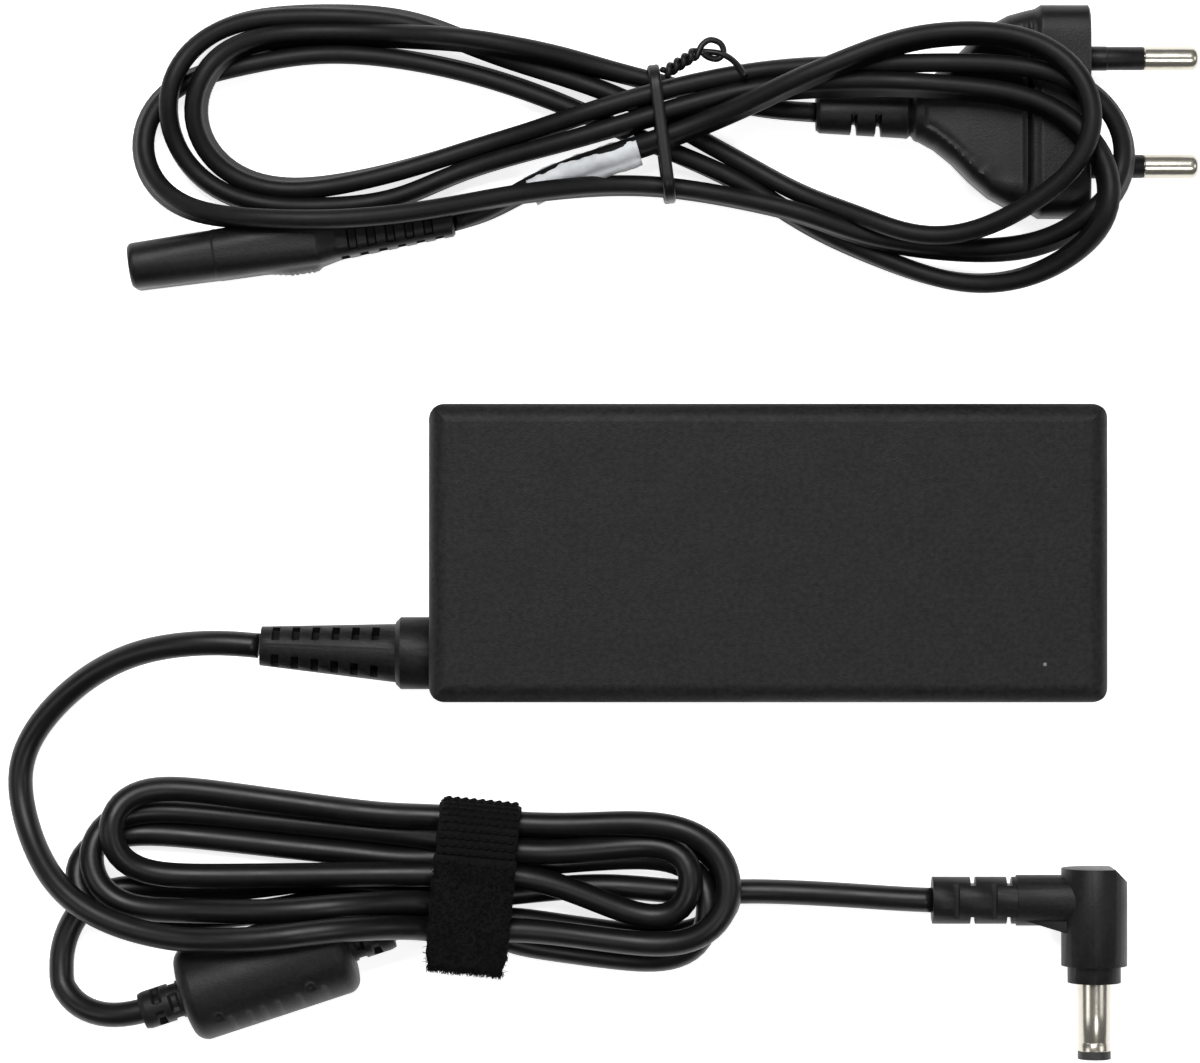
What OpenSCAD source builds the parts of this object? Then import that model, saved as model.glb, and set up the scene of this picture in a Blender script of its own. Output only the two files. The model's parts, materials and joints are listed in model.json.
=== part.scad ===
// Laptop power adapter: brick, captive DC lead with ferrite bead and right-angle
// plug, and a loose mains lead with a figure-eight connector and a flat two-pin plug.
// Millimetres. Origin at the centre of the brick's underside, +X towards the mains
// inlet, +Z up. Everything lies on the plane z = 0.

/* [Power brick] */
// Length of the brick, lead end to inlet end
body_l = 109; // [80:1:140]
// Width of the brick
body_w = 48; // [40:1:60]
// Height of the brick
body_h = 29.5; // [24:0.5:36]
// Radius of the upright corners
corner_r = 2.7; // [1:0.1:5]
// Radius of the top and bottom edges
edge_r = 3; // [1:0.1:4]
// Wall thickness of both shells
wall = 2.2; // [1.6:0.1:3]
// Height of the seam between the shells
seam_z = 14.75; // [12:0.25:18]
// Which way the indicator lies from the centre, along and across
light_at = [44.2, -17.8]; // [-50:0.1:50]

/* [Mains inlet] */
// Radius of each end of the inlet recess
inlet_r = 4.2; // [4:0.1:4.6]
// Depth of the inlet recess
inlet_depth = 12; // [10:0.5:14]
// Distance between the two pins
pin_pitch = 8.6; // [8:0.1:9]
// Radius of an inlet pin
inlet_pin_r = 1.18; // [1.1:0.01:1.3]
// Length of an inlet pin
inlet_pin_l = 9; // [8:0.5:10]

/* [DC lead] */
// Diameter of the DC cord
dc_d = 4.1; // [3:0.1:6]
// Distance of the DC lead from the brick's centre line
dc_y = -16.4; // [-18:0.1:18]
// Diameter of the strain relief's collar
relief_collar_d = 11.8; // [9:0.1:14]
// Length of the strain relief's taper
relief_l = 22; // [15:1:30]
// Diameter of the ferrite bead's cover
bead_d = 15.6; // [12:0.1:20]
// Length of the ferrite bead's cover
bead_l = 28.5; // [20:0.5:35]
// Outer diameter of the plug's barrel
barrel_d = 5.5; // [4:0.05:6.5]
// Bore of the plug's inner contact
barrel_bore_d = 2.5; // [1.3:0.05:3]
// Length of the plug's barrel, with its insulating tip
barrel_l = 12.6; // [9:0.1:14]
// Width of the hook-and-loop strap
strap_w = 13.5; // [10:0.5:20]

/* [Mains lead] */
// Thickness of the flat mains cord
cord_t = 3.2; // [2.6:0.1:4]
// Width of the flat mains cord
cord_w = 5.4; // [4:0.1:7]
// Width of the plug across its pins
plug_w = 34.8; // [33:0.1:37]
// Thickness of the plug
plug_t = 13.7; // [12:0.1:15]
// Diameter of a plug pin
plug_pin_d = 4; // [3.9:0.01:4.1]
// Free length of a plug pin
plug_pin_l = 17.5; // [16:0.5:20]
// Distance between the plug pins
plug_pitch = 17.8; // [17:0.1:19.2]

/* [Hidden] */
$fn = 64;

body_top = body_h;
half_l = body_l / 2;
half_w = body_w / 2;
inner_l = half_l - wall;
inner_w = half_w - wall;
mid_z = body_h / 2;

// circuit board
board_z = 5.4;
board_t = 1.6;
board_top = board_z + board_t;
board_l = 98;
board_w = 41;
choke_x = 25;

// inlet housing, let into the inlet end
housing_l = 16.5;
housing_w = 20;
housing_h = 13;
housing_x = half_l - housing_l;
recess_floor_x = half_l - inlet_depth;

// a pin is this much slimmer where it is held, up to this far past the face it leaves
root_step = 0.3;
root_proud = 0.15;
pin_tip_l = 0.6;

// strain relief on the brick
collar_l = 5.8;
collar_x = -half_l - collar_l;
relief_tilt = 3;
relief_root_r = 4.8;
relief_tip_r = 3.2;
slot_pitch = 3.25;
slot_w = 1.25;
slot_l = 2.8;

// ferrite bead: middle of the cover and the way its axis points
bead_at = [-81.9, -68.9, bead_d / 2];
bead_turn = 18.2;
bead_relief_l = 7.3;
bead_relief_r = 3.15;
core_l = 22;
core_r = 6;

// DC plug
plug_z = 5.45;
head_x = 54.7;
head_top_y = -52.2;
head_l = 16.1;
head_r = 5.45;
arm_y = -57.5;
grip_x = 27.9;
grip_r = 3.9;
grip_l = 14;
step_r = 4.4;
step_l = 2.8;
barrel_y = head_top_y - head_l - step_l;
tip_l = 1.25;
inner_out = barrel_bore_d / 2 + 0.3;

// strap round the hank
strap_at = [-47.8, -54.1];
strap_turn = -5.4;
strap_t = 1.3;
strap_across = 26.4;
strap_high = 12.2;
tail_l = 18.6;

// mains connector: centre of its front face, and its direction
conn_face = [-104.2, 47];
conn_turn = 8.1;
nose_l = 14;
nose_r = 3.75;
grip_body_l = 18;
conn_h = 14;
conn_z = conn_h / 2;
contact_r = 1.25;
contact_wall = 0.5;
contact_l = 9;
conn_relief_l = 21.6;

// mains plug
mains_z = plug_t / 2;
mains_y = 72.6;
flange_x = 44.8;
flange_l = 9.4;
mains_face_x = flange_x + flange_l;
sleeve_l = 8.5;
mains_relief_x = 8.6;
mains_relief_l = 14.7;
plug_root_r = plug_pin_d / 2 - root_step;

// Route of the DC cord from the strain relief to the strap
dc_exit_route = [
  [-82.7, -15.2, 14.75], [-88, -14.7, 14.5], [-93, -14.8, 13.8], [-101, -15.9, 11.4],
  [-108, -18.5, 8.4], [-114.4, -22.7, 5.4], [-119.8, -28.2, 3.2], [-122.8, -33.2, 2.3],
  [-123.6, -37.5, 2.1], [-123.1, -41.1, 2.1], [-122.3, -44.4, 2.1], [-121, -47.8, 2.2],
  [-119.2, -51.1, 2.8], [-116.8, -54.5, 4], [-113.4, -57.5, 5.6], [-109.4, -59.8, 7],
  [-106, -61.2, 8.6], [-102.5, -62.1, 10.4], [-99, -62.8, 12.2], [-95.6, -63.3, 13.9],
  [-92.3, -63.3, 15.2], [-88.9, -63.2, 16.2], [-85.6, -63, 17], [-82.3, -62.9, 17.4],
  [-79, -62.5, 17.8], [-75.8, -62, 18], [-72.5, -61.6, 18], [-69.3, -61.3, 17.7],
  [-66.5, -61.2, 16.4], [-63.8, -61.3, 14.6], [-61.4, -61.4, 12.8], [-59.5, -61.5, 11.1],
  [-57.8, -61.5, 9.7]
];

// Route of the DC cord from the hank to the ferrite bead
dc_bead_route = [
  [-113.6, -58.2, 2.1], [-115.2, -61.2, 2.1], [-116.4, -64.4, 2.1], [-116.8, -67.6, 2.2],
  [-116, -71, 2.9], [-113.8, -73.8, 4.3], [-110.4, -75.5, 6], [-106.4, -76.1, 7.3],
  [-102.4, -75.65, 7.8]
];

// Route of the DC cord from the ferrite bead back into the strap
dc_return_route = [[-61.4, -62.15, 7.8], [-59.4, -61.5, 6.6], [-57.6, -60.9, 5.2]];

// Route of the DC cord from the hank to the plug
dc_plug_route = [
  [-4.5, -56.4, 2.1], [2.9, -56.4, 2.3], [9.5, -56.6, 3.1], [16, -56.9, 4.2],
  [22.5, -57.3, 5.2], [27.9, -57.5, 5.45]
];

// Route of the mains cord from the connector's relief into the hank
mains_start_route = [[-51.1, 54.6, 7], [-48, 55.1, 6.5], [-44.6, 56.6, 5], [-41.5, 59, 3.6]];

// Route of the mains cord from the hank to the plug's relief
mains_end_route = [[-6, 74.5, 5.4], [-1, 73.4, 5.9], [4, 72.8, 6.6], [8.6, 72.6, 6.85]];

// ---------- shared shapes ----------

// Flat rectangle with round corners, centred
module round_rect(l, w, r) {
  square([l - 2 * r, w], center = true);
  square([l, w - 2 * r], center = true);
  for (x = [-1, 1], y = [-1, 1])
    translate([x * (l / 2 - r), y * (w / 2 - r)])
      circle(r);
}

// Brick form, drawn in by inset on every side, with rounded edges all round
module brick_form(inset, corner, edge) {
  l = body_l - 2 * inset;
  w = body_w - 2 * inset;
  h = body_h - 2 * inset;
  intersection() {
    translate([0, 0, inset])
      linear_extrude(h)
        round_rect(l, w, corner);
    translate([-l / 2, 0, mid_z])
      rotate([90, 0, 90])
        linear_extrude(l)
          round_rect(w, h, edge);
    translate([0, w / 2, mid_z])
      rotate([90, 0, 0])
        linear_extrude(w)
          round_rect(l, h, edge);
  }
}

module brick_outside() {
  brick_form(0, corner_r, edge_r);
}

module brick_cavity() {
  brick_form(wall, 1.2, 1.2);
}

// Everything between two heights
module layer(low, high) {
  translate([-body_l, -body_w, low])
    cube([2 * body_l, 2 * body_w, high - low]);
}

// Cylinder along X from x, centred on y and z
module rod_x(x, y, z, l, r) {
  translate([x, y, z])
    rotate([0, 90, 0])
      cylinder(h = l, r = r);
}

// Block from its low corner
module block(x, y, z, l, w, h) {
  translate([x, y, z])
    cube([l, w, h]);
}

// Two circles of radius r with a bar between, as a figure-eight connector's outline
module figure_eight(r, pitch) {
  for (y = [-1, 1])
    translate([0, y * pitch / 2])
      circle(r);
  square([2 * r - 1.2, pitch], center = true);
}

// Figure-eight bar along X, its long side along Y
module figure_eight_x(x, l, r, pitch) {
  translate([x, 0, mid_z])
    rotate([0, 90, 0])
      linear_extrude(l)
        figure_eight(r, pitch);
}

function unit(v) = v / norm(v);

// Direction of a route at point i
function heading(route, i) =
  unit(route[min(i + 1, len(route) - 1)] - route[max(i - 1, 0)]);

// One ring of a tube, square to the route
function tube_ring(route, i, r, sides) =
  let (t = heading(route, i))
  let (s = unit(cross(t, [0, 0, 1])))
  let (u = cross(s, t))
  [for (k = [0:sides - 1]) route[i] + r * cos(360 * k / sides) * s + r * sin(360 * k / sides) * u];

// Cord along a route
module tube(route, r, sides = 10) {
  count = len(route);
  points = [for (i = [0:count - 1]) each tube_ring(route, i, r, sides)];
  skin = [
    for (i = [0:count - 2], k = [0:sides - 1])
      let (a = i * sides + k)
      let (b = i * sides + (k + 1) % sides)
      each [[a, b, b + sides], [a, b + sides, a + sides]]
  ];
  start_cap = [[for (k = [0:sides - 1]) sides - 1 - k]];
  end_cap = [[for (k = [0:sides - 1]) (count - 1) * sides + k]];
  polyhedron(points, concat(skin, start_cap, end_cap), convexity = 6);
}

// Slotted taper along +X from the origin: rings of four slots leave four spines
module slotted_taper(l, root_r, tip_r, rings, first) {
  difference() {
    rotate([0, 90, 0])
      cylinder(h = l, r1 = root_r, r2 = tip_r);
    for (i = [0:rings - 1], a = [45:90:315])
      translate([first + i * slot_pitch, 0, 0])
        rotate([a, 0, 0])
          translate([0, -slot_l / 2, tip_r - 0.9])
            cube([slot_w, slot_l, root_r]);
  }
}

// ---------- brick ----------

module shell_holes() {
  translate([housing_x - 0.1, -housing_w / 2 - 0.05, mid_z - housing_h / 2 - 0.05])
    cube([housing_l + 1, housing_w + 0.1, housing_h + 0.1]);
  rod_x(-half_l - 1, dc_y, mid_z, wall + 2, relief_root_r + 0.05);
}

module top_shell() {
  lip = 1.1;
  color([0.035, 0.035, 0.038])
    difference() {
      union() {
        intersection() {
          brick_outside();
          layer(seam_z + 0.15, body_top + 1);
        }
        intersection() {
          brick_form(lip, 1.6, 1.6);
          layer(seam_z - 1.4, seam_z + 1);
        }
      }
      brick_cavity();
      shell_holes();
      translate([light_at[0], light_at[1], body_top - 4])
        cylinder(h = 6, r = 0.34);
    }
}

module bottom_shell() {
  rebate = 1.05;
  label_recess = 0.3;
  color([0.035, 0.035, 0.038]) {
    difference() {
      intersection() {
        brick_outside();
        layer(-1, seam_z);
      }
      brick_cavity();
      intersection() {
        brick_form(rebate, 1.6, 1.6);
        layer(seam_z - 1.5, seam_z + 1);
      }
      shell_holes();
      translate([0, 0, -1])
        linear_extrude(1 + label_recess)
          round_rect(82, 37, 2);
    }
    // posts under the circuit board
    for (x = [-44, 40], y = [-16, 16])
      translate([x, y, wall - 0.2])
        cylinder(h = board_z - wall + 0.2, r = 2.2, $fn = 24);
  }
}

module rating_label() {
  color([0.08, 0.08, 0.085])
    translate([0, 0, 0.05])
      linear_extrude(0.25)
        round_rect(81.6, 36.6, 1.8);
}

module light_pipe() {
  pipe_z = 13;
  color([0.85, 0.87, 0.85])
    translate([light_at[0], light_at[1], 0]) {
      translate([0, 0, pipe_z])
        cylinder(h = body_top - pipe_z, r = 0.3, $fn = 32);
      translate([0, 0, body_top - wall - 1.2])
        cylinder(h = 1.1, r = 1.4, $fn = 32);
      translate([0, 0, pipe_z])
        cylinder(h = 1.5, r = 1.2, $fn = 32);
    }
}

module inlet_housing() {
  color([0.03, 0.03, 0.032])
    difference() {
      block(housing_x, -housing_w / 2, mid_z - housing_h / 2, housing_l, housing_w, housing_h);
      figure_eight_x(recess_floor_x, inlet_depth + 1, inlet_r, 6.4);
      for (y = [-1, 1])
        rod_x(housing_x - 1, y * pin_pitch / 2, mid_z, housing_l, inlet_pin_r - root_step);
    }
}

module inlet_pin(side) {
  tail_l = 4;
  y = side * pin_pitch / 2;
  free_x = recess_floor_x + root_proud;
  tip_x = recess_floor_x + inlet_pin_l - pin_tip_l;
  color([0.75, 0.73, 0.7]) {
    rod_x(housing_x - tail_l, y, mid_z, free_x - housing_x + tail_l, inlet_pin_r - root_step);
    rod_x(free_x, y, mid_z, tip_x - free_x, inlet_pin_r);
    translate([tip_x, y, mid_z])
      rotate([0, 90, 0])
        cylinder(h = pin_tip_l, r1 = inlet_pin_r, r2 = 0.7);
  }
}

module dc_strain_relief() {
  color([0.025, 0.025, 0.025]) {
    // flange inside the wall, neck through it and collar outside
    intersection() {
      rod_x(-inner_l, dc_y, mid_z, 1.6, 5.6);
      brick_form(wall + 0.05, 1.2, 1.2);
    }
    rod_x(-half_l - 0.1, dc_y, mid_z, wall + 0.2, relief_root_r);
    rod_x(-half_l - collar_l + 0.8, dc_y, mid_z, collar_l - 0.8, relief_collar_d / 2);
    translate([-half_l - collar_l, dc_y, mid_z])
      rotate([0, 90, 0])
        cylinder(h = 0.8, r1 = relief_collar_d / 2 - 0.8, r2 = relief_collar_d / 2);
    translate([collar_x + 0.2, dc_y, mid_z])
      rotate([0, 0, 180 - relief_tilt])
        slotted_taper(relief_l + 0.3, relief_root_r, relief_tip_r, 6, 2.9);
  }
}

// ---------- inside the brick ----------

module circuit_board() {
  color([0.55, 0.42, 0.16])
    difference() {
      translate([-1.5, 0, board_z])
        linear_extrude(board_t)
          round_rect(board_l, board_w, 1);
      // slot that parts the mains side from the output side
      block(-19, -9, board_z - 1, 2, 22, board_t + 2);
    }
}

module insulating_film() {
  film_t = 0.25;
  film_z = body_top - wall - 0.45;
  color([0.85, 0.85, 0.8, 0.5])
    difference() {
      translate([-6, 0, film_z])
        linear_extrude(film_t)
          round_rect(84, 40, 1);
      translate([light_at[0], light_at[1], film_z - 1])
        cylinder(h = 3, r = 2);
    }
}

// Aluminium plate with a foot that stands on the board
module heatsink(x, y, l, h, lean) {
  color([0.72, 0.73, 0.75]) {
    block(x, y, board_top, l, 1.6, h);
    block(x, lean > 0 ? y : y - 3.4, board_top + h - 1.6, l, 5, 1.6);
  }
}

module primary_heatsink() {
  heatsink(-14, -20.2, 30, 18, 1);
}

module secondary_heatsink() {
  heatsink(-50, 18.6, 24, 18, -1);
}

// Three-legged power package that stands against a heatsink
module power_package(x, y, depth) {
  color([0.06, 0.06, 0.06])
    block(x, y, board_top + 3.5, 10, depth, 9.5);
  color([0.75, 0.75, 0.77]) {
    for (i = [-1:1])
      block(x + 5 + 2.54 * i - 0.4, y + depth / 2 - 0.3, board_top, 0.8, 0.6, 3.5);
    block(x, y, board_top + 13, 10, 1.2, 2.6);
  }
}

module power_transistor() {
  power_package(-6, -18.55, 4.2);
}

module output_rectifier() {
  power_package(-43, 14.3, 4.2);
}

module heatsink_screws() {
  color([0.8, 0.8, 0.82])
    for (p = [[-1, -17.3, 1], [-38, 14.2, -1]])
      translate([p[0], p[1], board_top + 14.4])
        rotate([90 * p[2], 0, 0])
          translate([0, 0, -1.4])
            cylinder(h = 1.4, r = 1.1, $fn = 24);
}

module fuse() {
  color([0.1, 0.1, 0.11])
    translate([32, 15.2, board_top])
      cylinder(h = 8, r = 4.2);
}

module x_capacitor() {
  color([0.75, 0.62, 0.12])
    translate([27, -12.6, board_top])
      linear_extrude(9.5)
        round_rect(17, 8, 0.8);
}

module choke_core() {
  color([0.12, 0.25, 0.16])
    translate([choke_x, 0.8, board_top + 1])
      rotate_extrude()
        translate([3.6, 0])
          square([3.6, 7]);
}

// Two half windings round the choke's ring, clear of it by a hair
module choke_windings() {
  color([0.6, 0.28, 0.1])
    translate([choke_x, 0.8, board_top])
      for (a = [0, 180])
        rotate([0, 0, a + 25])
          difference() {
            rotate_extrude(angle = 130)
              translate([2.5, 0])
                square([5.8, 9]);
            translate([0, 0, 0.95])
              rotate_extrude()
                translate([3.55, 0])
                  square([3.7, 7.1]);
          }
}

module bridge_rectifier() {
  color([0.07, 0.07, 0.07])
    block(18, 12.4, board_top + 1, 3.6, 7.6, 11);
  color([0.75, 0.75, 0.77])
    for (i = [0:3])
      block(19.4, 13 + 1.9 * i, board_top, 0.8, 0.8, 1);
}

module bulk_capacitor() {
  color([0.1, 0.12, 0.2])
    rod_x(-16, 9.6, board_top + 9.4, 31, 9.2);
}

module transformer_core() {
  color([0.16, 0.16, 0.17])
    difference() {
      block(-43, -16.5, board_top + 2, 24, 22, 16);
      for (y = [-13.5, -1.5])
        block(-40.5, y, board_top + 1, 19, 4, 18);
    }
}

module transformer_bobbin() {
  color([0.1, 0.1, 0.1])
    difference() {
      union() {
        block(-42, -9.4, board_top + 0.2, 22, 7.8, 1.6);
        block(-46.2, -17, board_top, 2.9, 23, 3);
        block(-18.7, -17, board_top, 0.6, 23, 1.5);
      }
      block(-41, -9, board_top + 1.85, 20, 7, 4);
    }
}

module transformer_winding() {
  color([0.85, 0.7, 0.15])
    for (y = [-13.3, -1.3])
      block(-40.3, y, board_top + 2.4, 18.6, 3.6, 15.2);
}

module output_capacitors() {
  color([0.08, 0.1, 0.14])
    for (x = [-41.5, -31])
      translate([x, 10, board_top + 0.3])
        cylinder(h = 8, r = 3.2);
}

module output_inductor() {
  color([0.7, 0.35, 0.12])
    translate([-23.5, 12.2, board_top + 0.2])
      rotate_extrude()
        translate([1.4, 0])
          square([2.4, 5]);
}

module y_capacitor() {
  color([0.15, 0.35, 0.65])
    translate([-17.6, -18, board_top + 4.5])
      rotate([0, 90, 0])
        cylinder(h = 2.4, r = 3.4);
}

module optocoupler() {
  color([0.92, 0.92, 0.9])
    block(-15.6, -11, board_top + 0.2, 4.6, 6.4, 3.4);
}

module control_chip() {
  color([0.05, 0.05, 0.05])
    block(-8.5, -7, board_top + 0.2, 5, 4, 1.5);
}

module thermistor() {
  color([0.1, 0.3, 0.2])
    translate([38.4, -17.5, board_top + 4.2])
      rotate([0, 90, 0])
        cylinder(h = 2.2, r = 3);
}

module indicator_led() {
  color([0.3, 0.8, 0.35])
    translate([light_at[0], light_at[1], board_top + 0.2]) {
      cylinder(h = 4.2, r = 1.5, $fn = 32);
      cylinder(h = 0.8, r = 1.8, $fn = 32);
    }
}

module inlet_wires() {
  tab_x = housing_x - 2;
  color([0.35, 0.18, 0.1])
    for (y = [-1, 1])
      translate([tab_x - 0.6, y * pin_pitch / 2 - 0.9, board_top])
        difference() {
          cube([1.2, 1.8, mid_z - board_top + 1.9]);
          translate([-1, 0.9, mid_z - board_top])
            rotate([0, 90, 0])
              cylinder(h = 4, r = inlet_pin_r - root_step);
        }
}

module output_wires() {
  color([0.65, 0.1, 0.1])
    for (y = [-1.2, 1.2])
      tube([[-inner_l + 2.2, dc_y + y, mid_z], [-inner_l + 3.2, dc_y + y, mid_z - 1],
            [-inner_l + 4.4, dc_y + y, mid_z - 4], [-inner_l + 4.8, dc_y + y, board_top + 0.2]],
           0.8, 8);
}

// ---------- DC lead ----------

module dc_cord_exit() {
  color([0.02, 0.02, 0.02])
    tube(dc_exit_route, dc_d / 2);
}

module dc_cord_bead_loop() {
  color([0.02, 0.02, 0.02])
    tube(dc_bead_route, dc_d / 2);
}

module dc_cord_return() {
  color([0.02, 0.02, 0.02])
    tube(dc_return_route, dc_d / 2);
}

module dc_cord_plug_end() {
  color([0.02, 0.02, 0.02])
    tube(dc_plug_route, dc_d / 2);
}

// Outer shape of the looped cord: two round-ended lobes and the waist in the strap
module dc_cord_hank() {
  two_layers = 2 * dc_d;
  waist_l = 18.5;
  waist_w = 19.2;
  color([0.02, 0.02, 0.02]) {
    linear_extrude(two_layers)
      hull() {
        translate([-105, -49])
          circle(10.3, $fn = 48);
        translate([-97, -47.3])
          circle(10.3, $fn = 48);
        translate([-60, -50.7])
          square([4, 10.2], center = true);
      }
    linear_extrude(two_layers)
      hull() {
        translate([-15.8, -55.9])
          circle(12.9, $fn = 48);
        translate([-38.5, -55])
          square([3, 20.4], center = true);
      }
    translate([-58.5, strap_at[1], strap_high / 2 - 4.1])
      rotate([0, 90, 0])
        translate([-4.1, 0, 0])
          linear_extrude(waist_l + 2)
            round_rect(8.2, waist_w, 3.6);
  }
}

module ferrite_cover() {
  round_end = 2.2;
  color([0.03, 0.03, 0.03])
    translate(bead_at)
      rotate([0, 0, bead_turn])
        difference() {
          union() {
            // barrel with rounded ends
            rotate([0, 90, 0])
              translate([0, 0, -bead_l / 2])
                rotate_extrude()
                  intersection() {
                    translate([0, bead_l / 2])
                      round_rect(bead_d, bead_l, round_end);
                    square([bead_d, bead_l]);
                  }
            // ribbed reliefs at both ends
            for (s = [0, 1])
              mirror([s, 0, 0])
                bead_relief();
          }
          // inside: the core's pocket and the cord's way through
          rotate([0, 90, 0])
            cylinder(h = core_l + 0.2, r = core_r + 0.05, center = true);
        }
}

module bead_relief() {
  difference() {
    translate([bead_l / 2 - 0.5, 0, 0])
      rotate([0, 90, 0])
        cylinder(h = bead_relief_l + 0.5, r = bead_relief_r);
    for (i = [0, 1], a = [0:90:270])
      translate([bead_l / 2 + 1 + 2.9 * i, 0, 0])
        rotate([a + 45 * i, 0, 0])
          translate([0, -2, bead_relief_r - 0.8])
            cube([1.1, 4, 2]);
  }
}

// Sintered ferrite tube with the cord's core run through it
module ferrite_core() {
  color([0.2, 0.2, 0.21])
    translate(bead_at)
      rotate([0, 0, bead_turn])
        rotate([0, 90, 0])
          cylinder(h = core_l, r = core_r, center = true);
}

// Strap ring round the hank, flat above and below
module cable_strap() {
  color([0.015, 0.015, 0.015])
    translate([strap_at[0], strap_at[1], strap_high / 2])
      rotate([0, 0, strap_turn])
        rotate([0, 90, 0])
          linear_extrude(strap_w, center = true)
            difference() {
              round_rect(strap_high, strap_across, strap_high / 2 - 0.01);
              round_rect(strap_high - 2 * strap_t, strap_across - 2 * strap_t,
                         strap_high / 2 - strap_t - 0.01);
            }
}

// Free end of the strap, lying on the ring and hinged where it was laid down
module strap_tail() {
  tail_t = 1.2;
  color([0.015, 0.015, 0.015])
    translate([strap_at[0], strap_at[1], strap_high + 0.25])
      rotate([0, 0, strap_turn])
        translate([-strap_w / 2, 4.2 - tail_l, 0])
          cube([strap_w, tail_l, tail_t]);
}

module plug_grip() {
  color([0.03, 0.03, 0.03])
    difference() {
      union() {
        // ribbed grip and the arm to the head
        rod_x(grip_x, arm_y, plug_z, grip_l, grip_r);
        rod_x(grip_x + grip_l - 0.1, arm_y, plug_z, head_x - grip_x - grip_l, 4.2);
        // web between arm and head
        translate([0, 0, plug_z - 2.6])
          linear_extrude(5.2)
            polygon([[grip_x + grip_l + 1, arm_y - 3.2], [head_x - 4.6, arm_y - 5.4],
                     [head_x, arm_y], [grip_x + grip_l + 1, arm_y]]);
        // head, with its outer corner cut off
        difference() {
          translate([head_x, head_top_y, plug_z])
            rotate([90, 0, 0])
              cylinder(h = head_l, r = head_r);
          translate([head_x + 2.2, head_top_y + 0.9, -1])
            rotate([0, 0, -45])
              cube([8, 4, 14]);
        }
        translate([head_x, head_top_y - head_l + 0.1, plug_z])
          rotate([90, 0, 0])
            cylinder(h = step_l + 0.1, r = step_r);
      }
      // notches in the grip, two pairs turned by a quarter
      for (i = [0, 1])
        grip_notches(grip_x + 6.2 + 6 * i, 0);
      for (i = [0, 1])
        grip_notches(grip_x + 3.4 + 6.2 * i, 90);
      // bore for the barrel's root
      translate([head_x, barrel_y + 8, plug_z])
        rotate([90, 0, 0])
          cylinder(h = 9, r = barrel_d / 2 - root_step);
    }
}

module grip_notches(x, turn) {
  for (s = [0, 180])
    translate([x, arm_y, plug_z])
      rotate([s + turn + 90, 0, 0])
        translate([0, -3, grip_r - 1.3])
          cube([0.9, 6, 3]);
}

// Hollow barrel, its slimmer root inside the head
module plug_barrel() {
  root_l = 8;
  color([0.8, 0.79, 0.76])
    translate([head_x, barrel_y, plug_z])
      rotate([90, 0, 0])
        difference() {
          union() {
            translate([0, 0, -root_l])
              cylinder(h = root_l + root_proud, r = barrel_d / 2 - root_step);
            translate([0, 0, root_proud])
              cylinder(h = barrel_l - tip_l - root_proud, r = barrel_d / 2);
          }
          translate([0, 0, -root_l - 1])
            cylinder(h = 20 + barrel_l, r = barrel_d / 2 - 0.4);
        }
}

// Insulator: a sleeve inside the barrel that ends in a dark ring
module plug_tip_ring() {
  sleeve_out = barrel_d / 2 - 0.42;
  color([0.04, 0.04, 0.04])
    translate([head_x, barrel_y, plug_z])
      rotate([90, 0, 0])
        difference() {
          union() {
            translate([0, 0, -7])
              cylinder(h = 7 + barrel_l, r = sleeve_out);
            translate([0, 0, barrel_l - tip_l])
              cylinder(h = tip_l, r = barrel_d / 2);
          }
          translate([0, 0, -8])
            cylinder(h = 10 + barrel_l, r = inner_out + 0.02);
        }
}

// Spring contact down the middle of the barrel, open at the tip
module plug_inner_contact() {
  color([0.85, 0.75, 0.45])
    translate([head_x, barrel_y, plug_z])
      rotate([90, 0, 0])
        difference() {
          translate([0, 0, -6])
            cylinder(h = 6 + barrel_l - 0.6, r = inner_out);
          translate([0, 0, barrel_l - 10])
            cylinder(h = 12, r = barrel_bore_d / 2);
        }
}

// ---------- mains lead ----------

// Puts a shape drawn along +X from the origin onto the connector's axis
module on_connector() {
  translate([conn_face[0], conn_face[1], conn_z])
    rotate([0, 0, conn_turn])
      children();
}

// Figure-eight bar along +X, standing on its narrow side
module upright_eight(x, l, r, pitch) {
  translate([x, 0, 0])
    rotate([90, 0, 90])
      linear_extrude(l)
        figure_eight(r, pitch);
}

module connector_body() {
  color([0.03, 0.03, 0.03])
    on_connector()
      difference() {
        union() {
          upright_eight(0, nose_l + 0.1, nose_r, 5.9);
          translate([nose_l, 0, 0])
            rotate([90, 0, 90])
              linear_extrude(grip_body_l)
                round_rect(8.2, conn_h, 2.6);
          // finger bump near the lead end
          translate([nose_l + 12.5, -3.9, 0])
            cylinder(h = 8, r = 2, center = true, $fn = 32);
          translate([nose_l + grip_body_l - 0.1, 0, 0])
            conn_relief();
        }
        for (s = [-1, 1]) {
          rod_x(-1, 0, s * pin_pitch / 2, 3, contact_r);
          rod_x(1.5, 0, s * pin_pitch / 2, contact_l + 1, contact_r + contact_wall + 0.02);
        }
      }
}

// Flat slotted relief behind the connector
module conn_relief() {
  difference() {
    intersection() {
      rotate([0, 90, 0])
        cylinder(h = conn_relief_l, r1 = 5.4, r2 = 3.2);
      rotate([90, 0, 90])
        linear_extrude(conn_relief_l)
          round_rect(7, 11, 2);
    }
    for (i = [0:5], s = [0, 180])
      translate([1.6 + 3.2 * i, 0, 0])
        rotate([s + 90, 0, 0])
          translate([0, -1.5, 1.9])
            cube([1.3, 3, 3]);
  }
}

module connector_contact(side) {
  color([0.8, 0.7, 0.4])
    on_connector()
      difference() {
        rod_x(1.6, 0, side * pin_pitch / 2, contact_l, contact_r + contact_wall);
        rod_x(0.6, 0, side * pin_pitch / 2, contact_l + 3, contact_r);
      }
}

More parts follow.
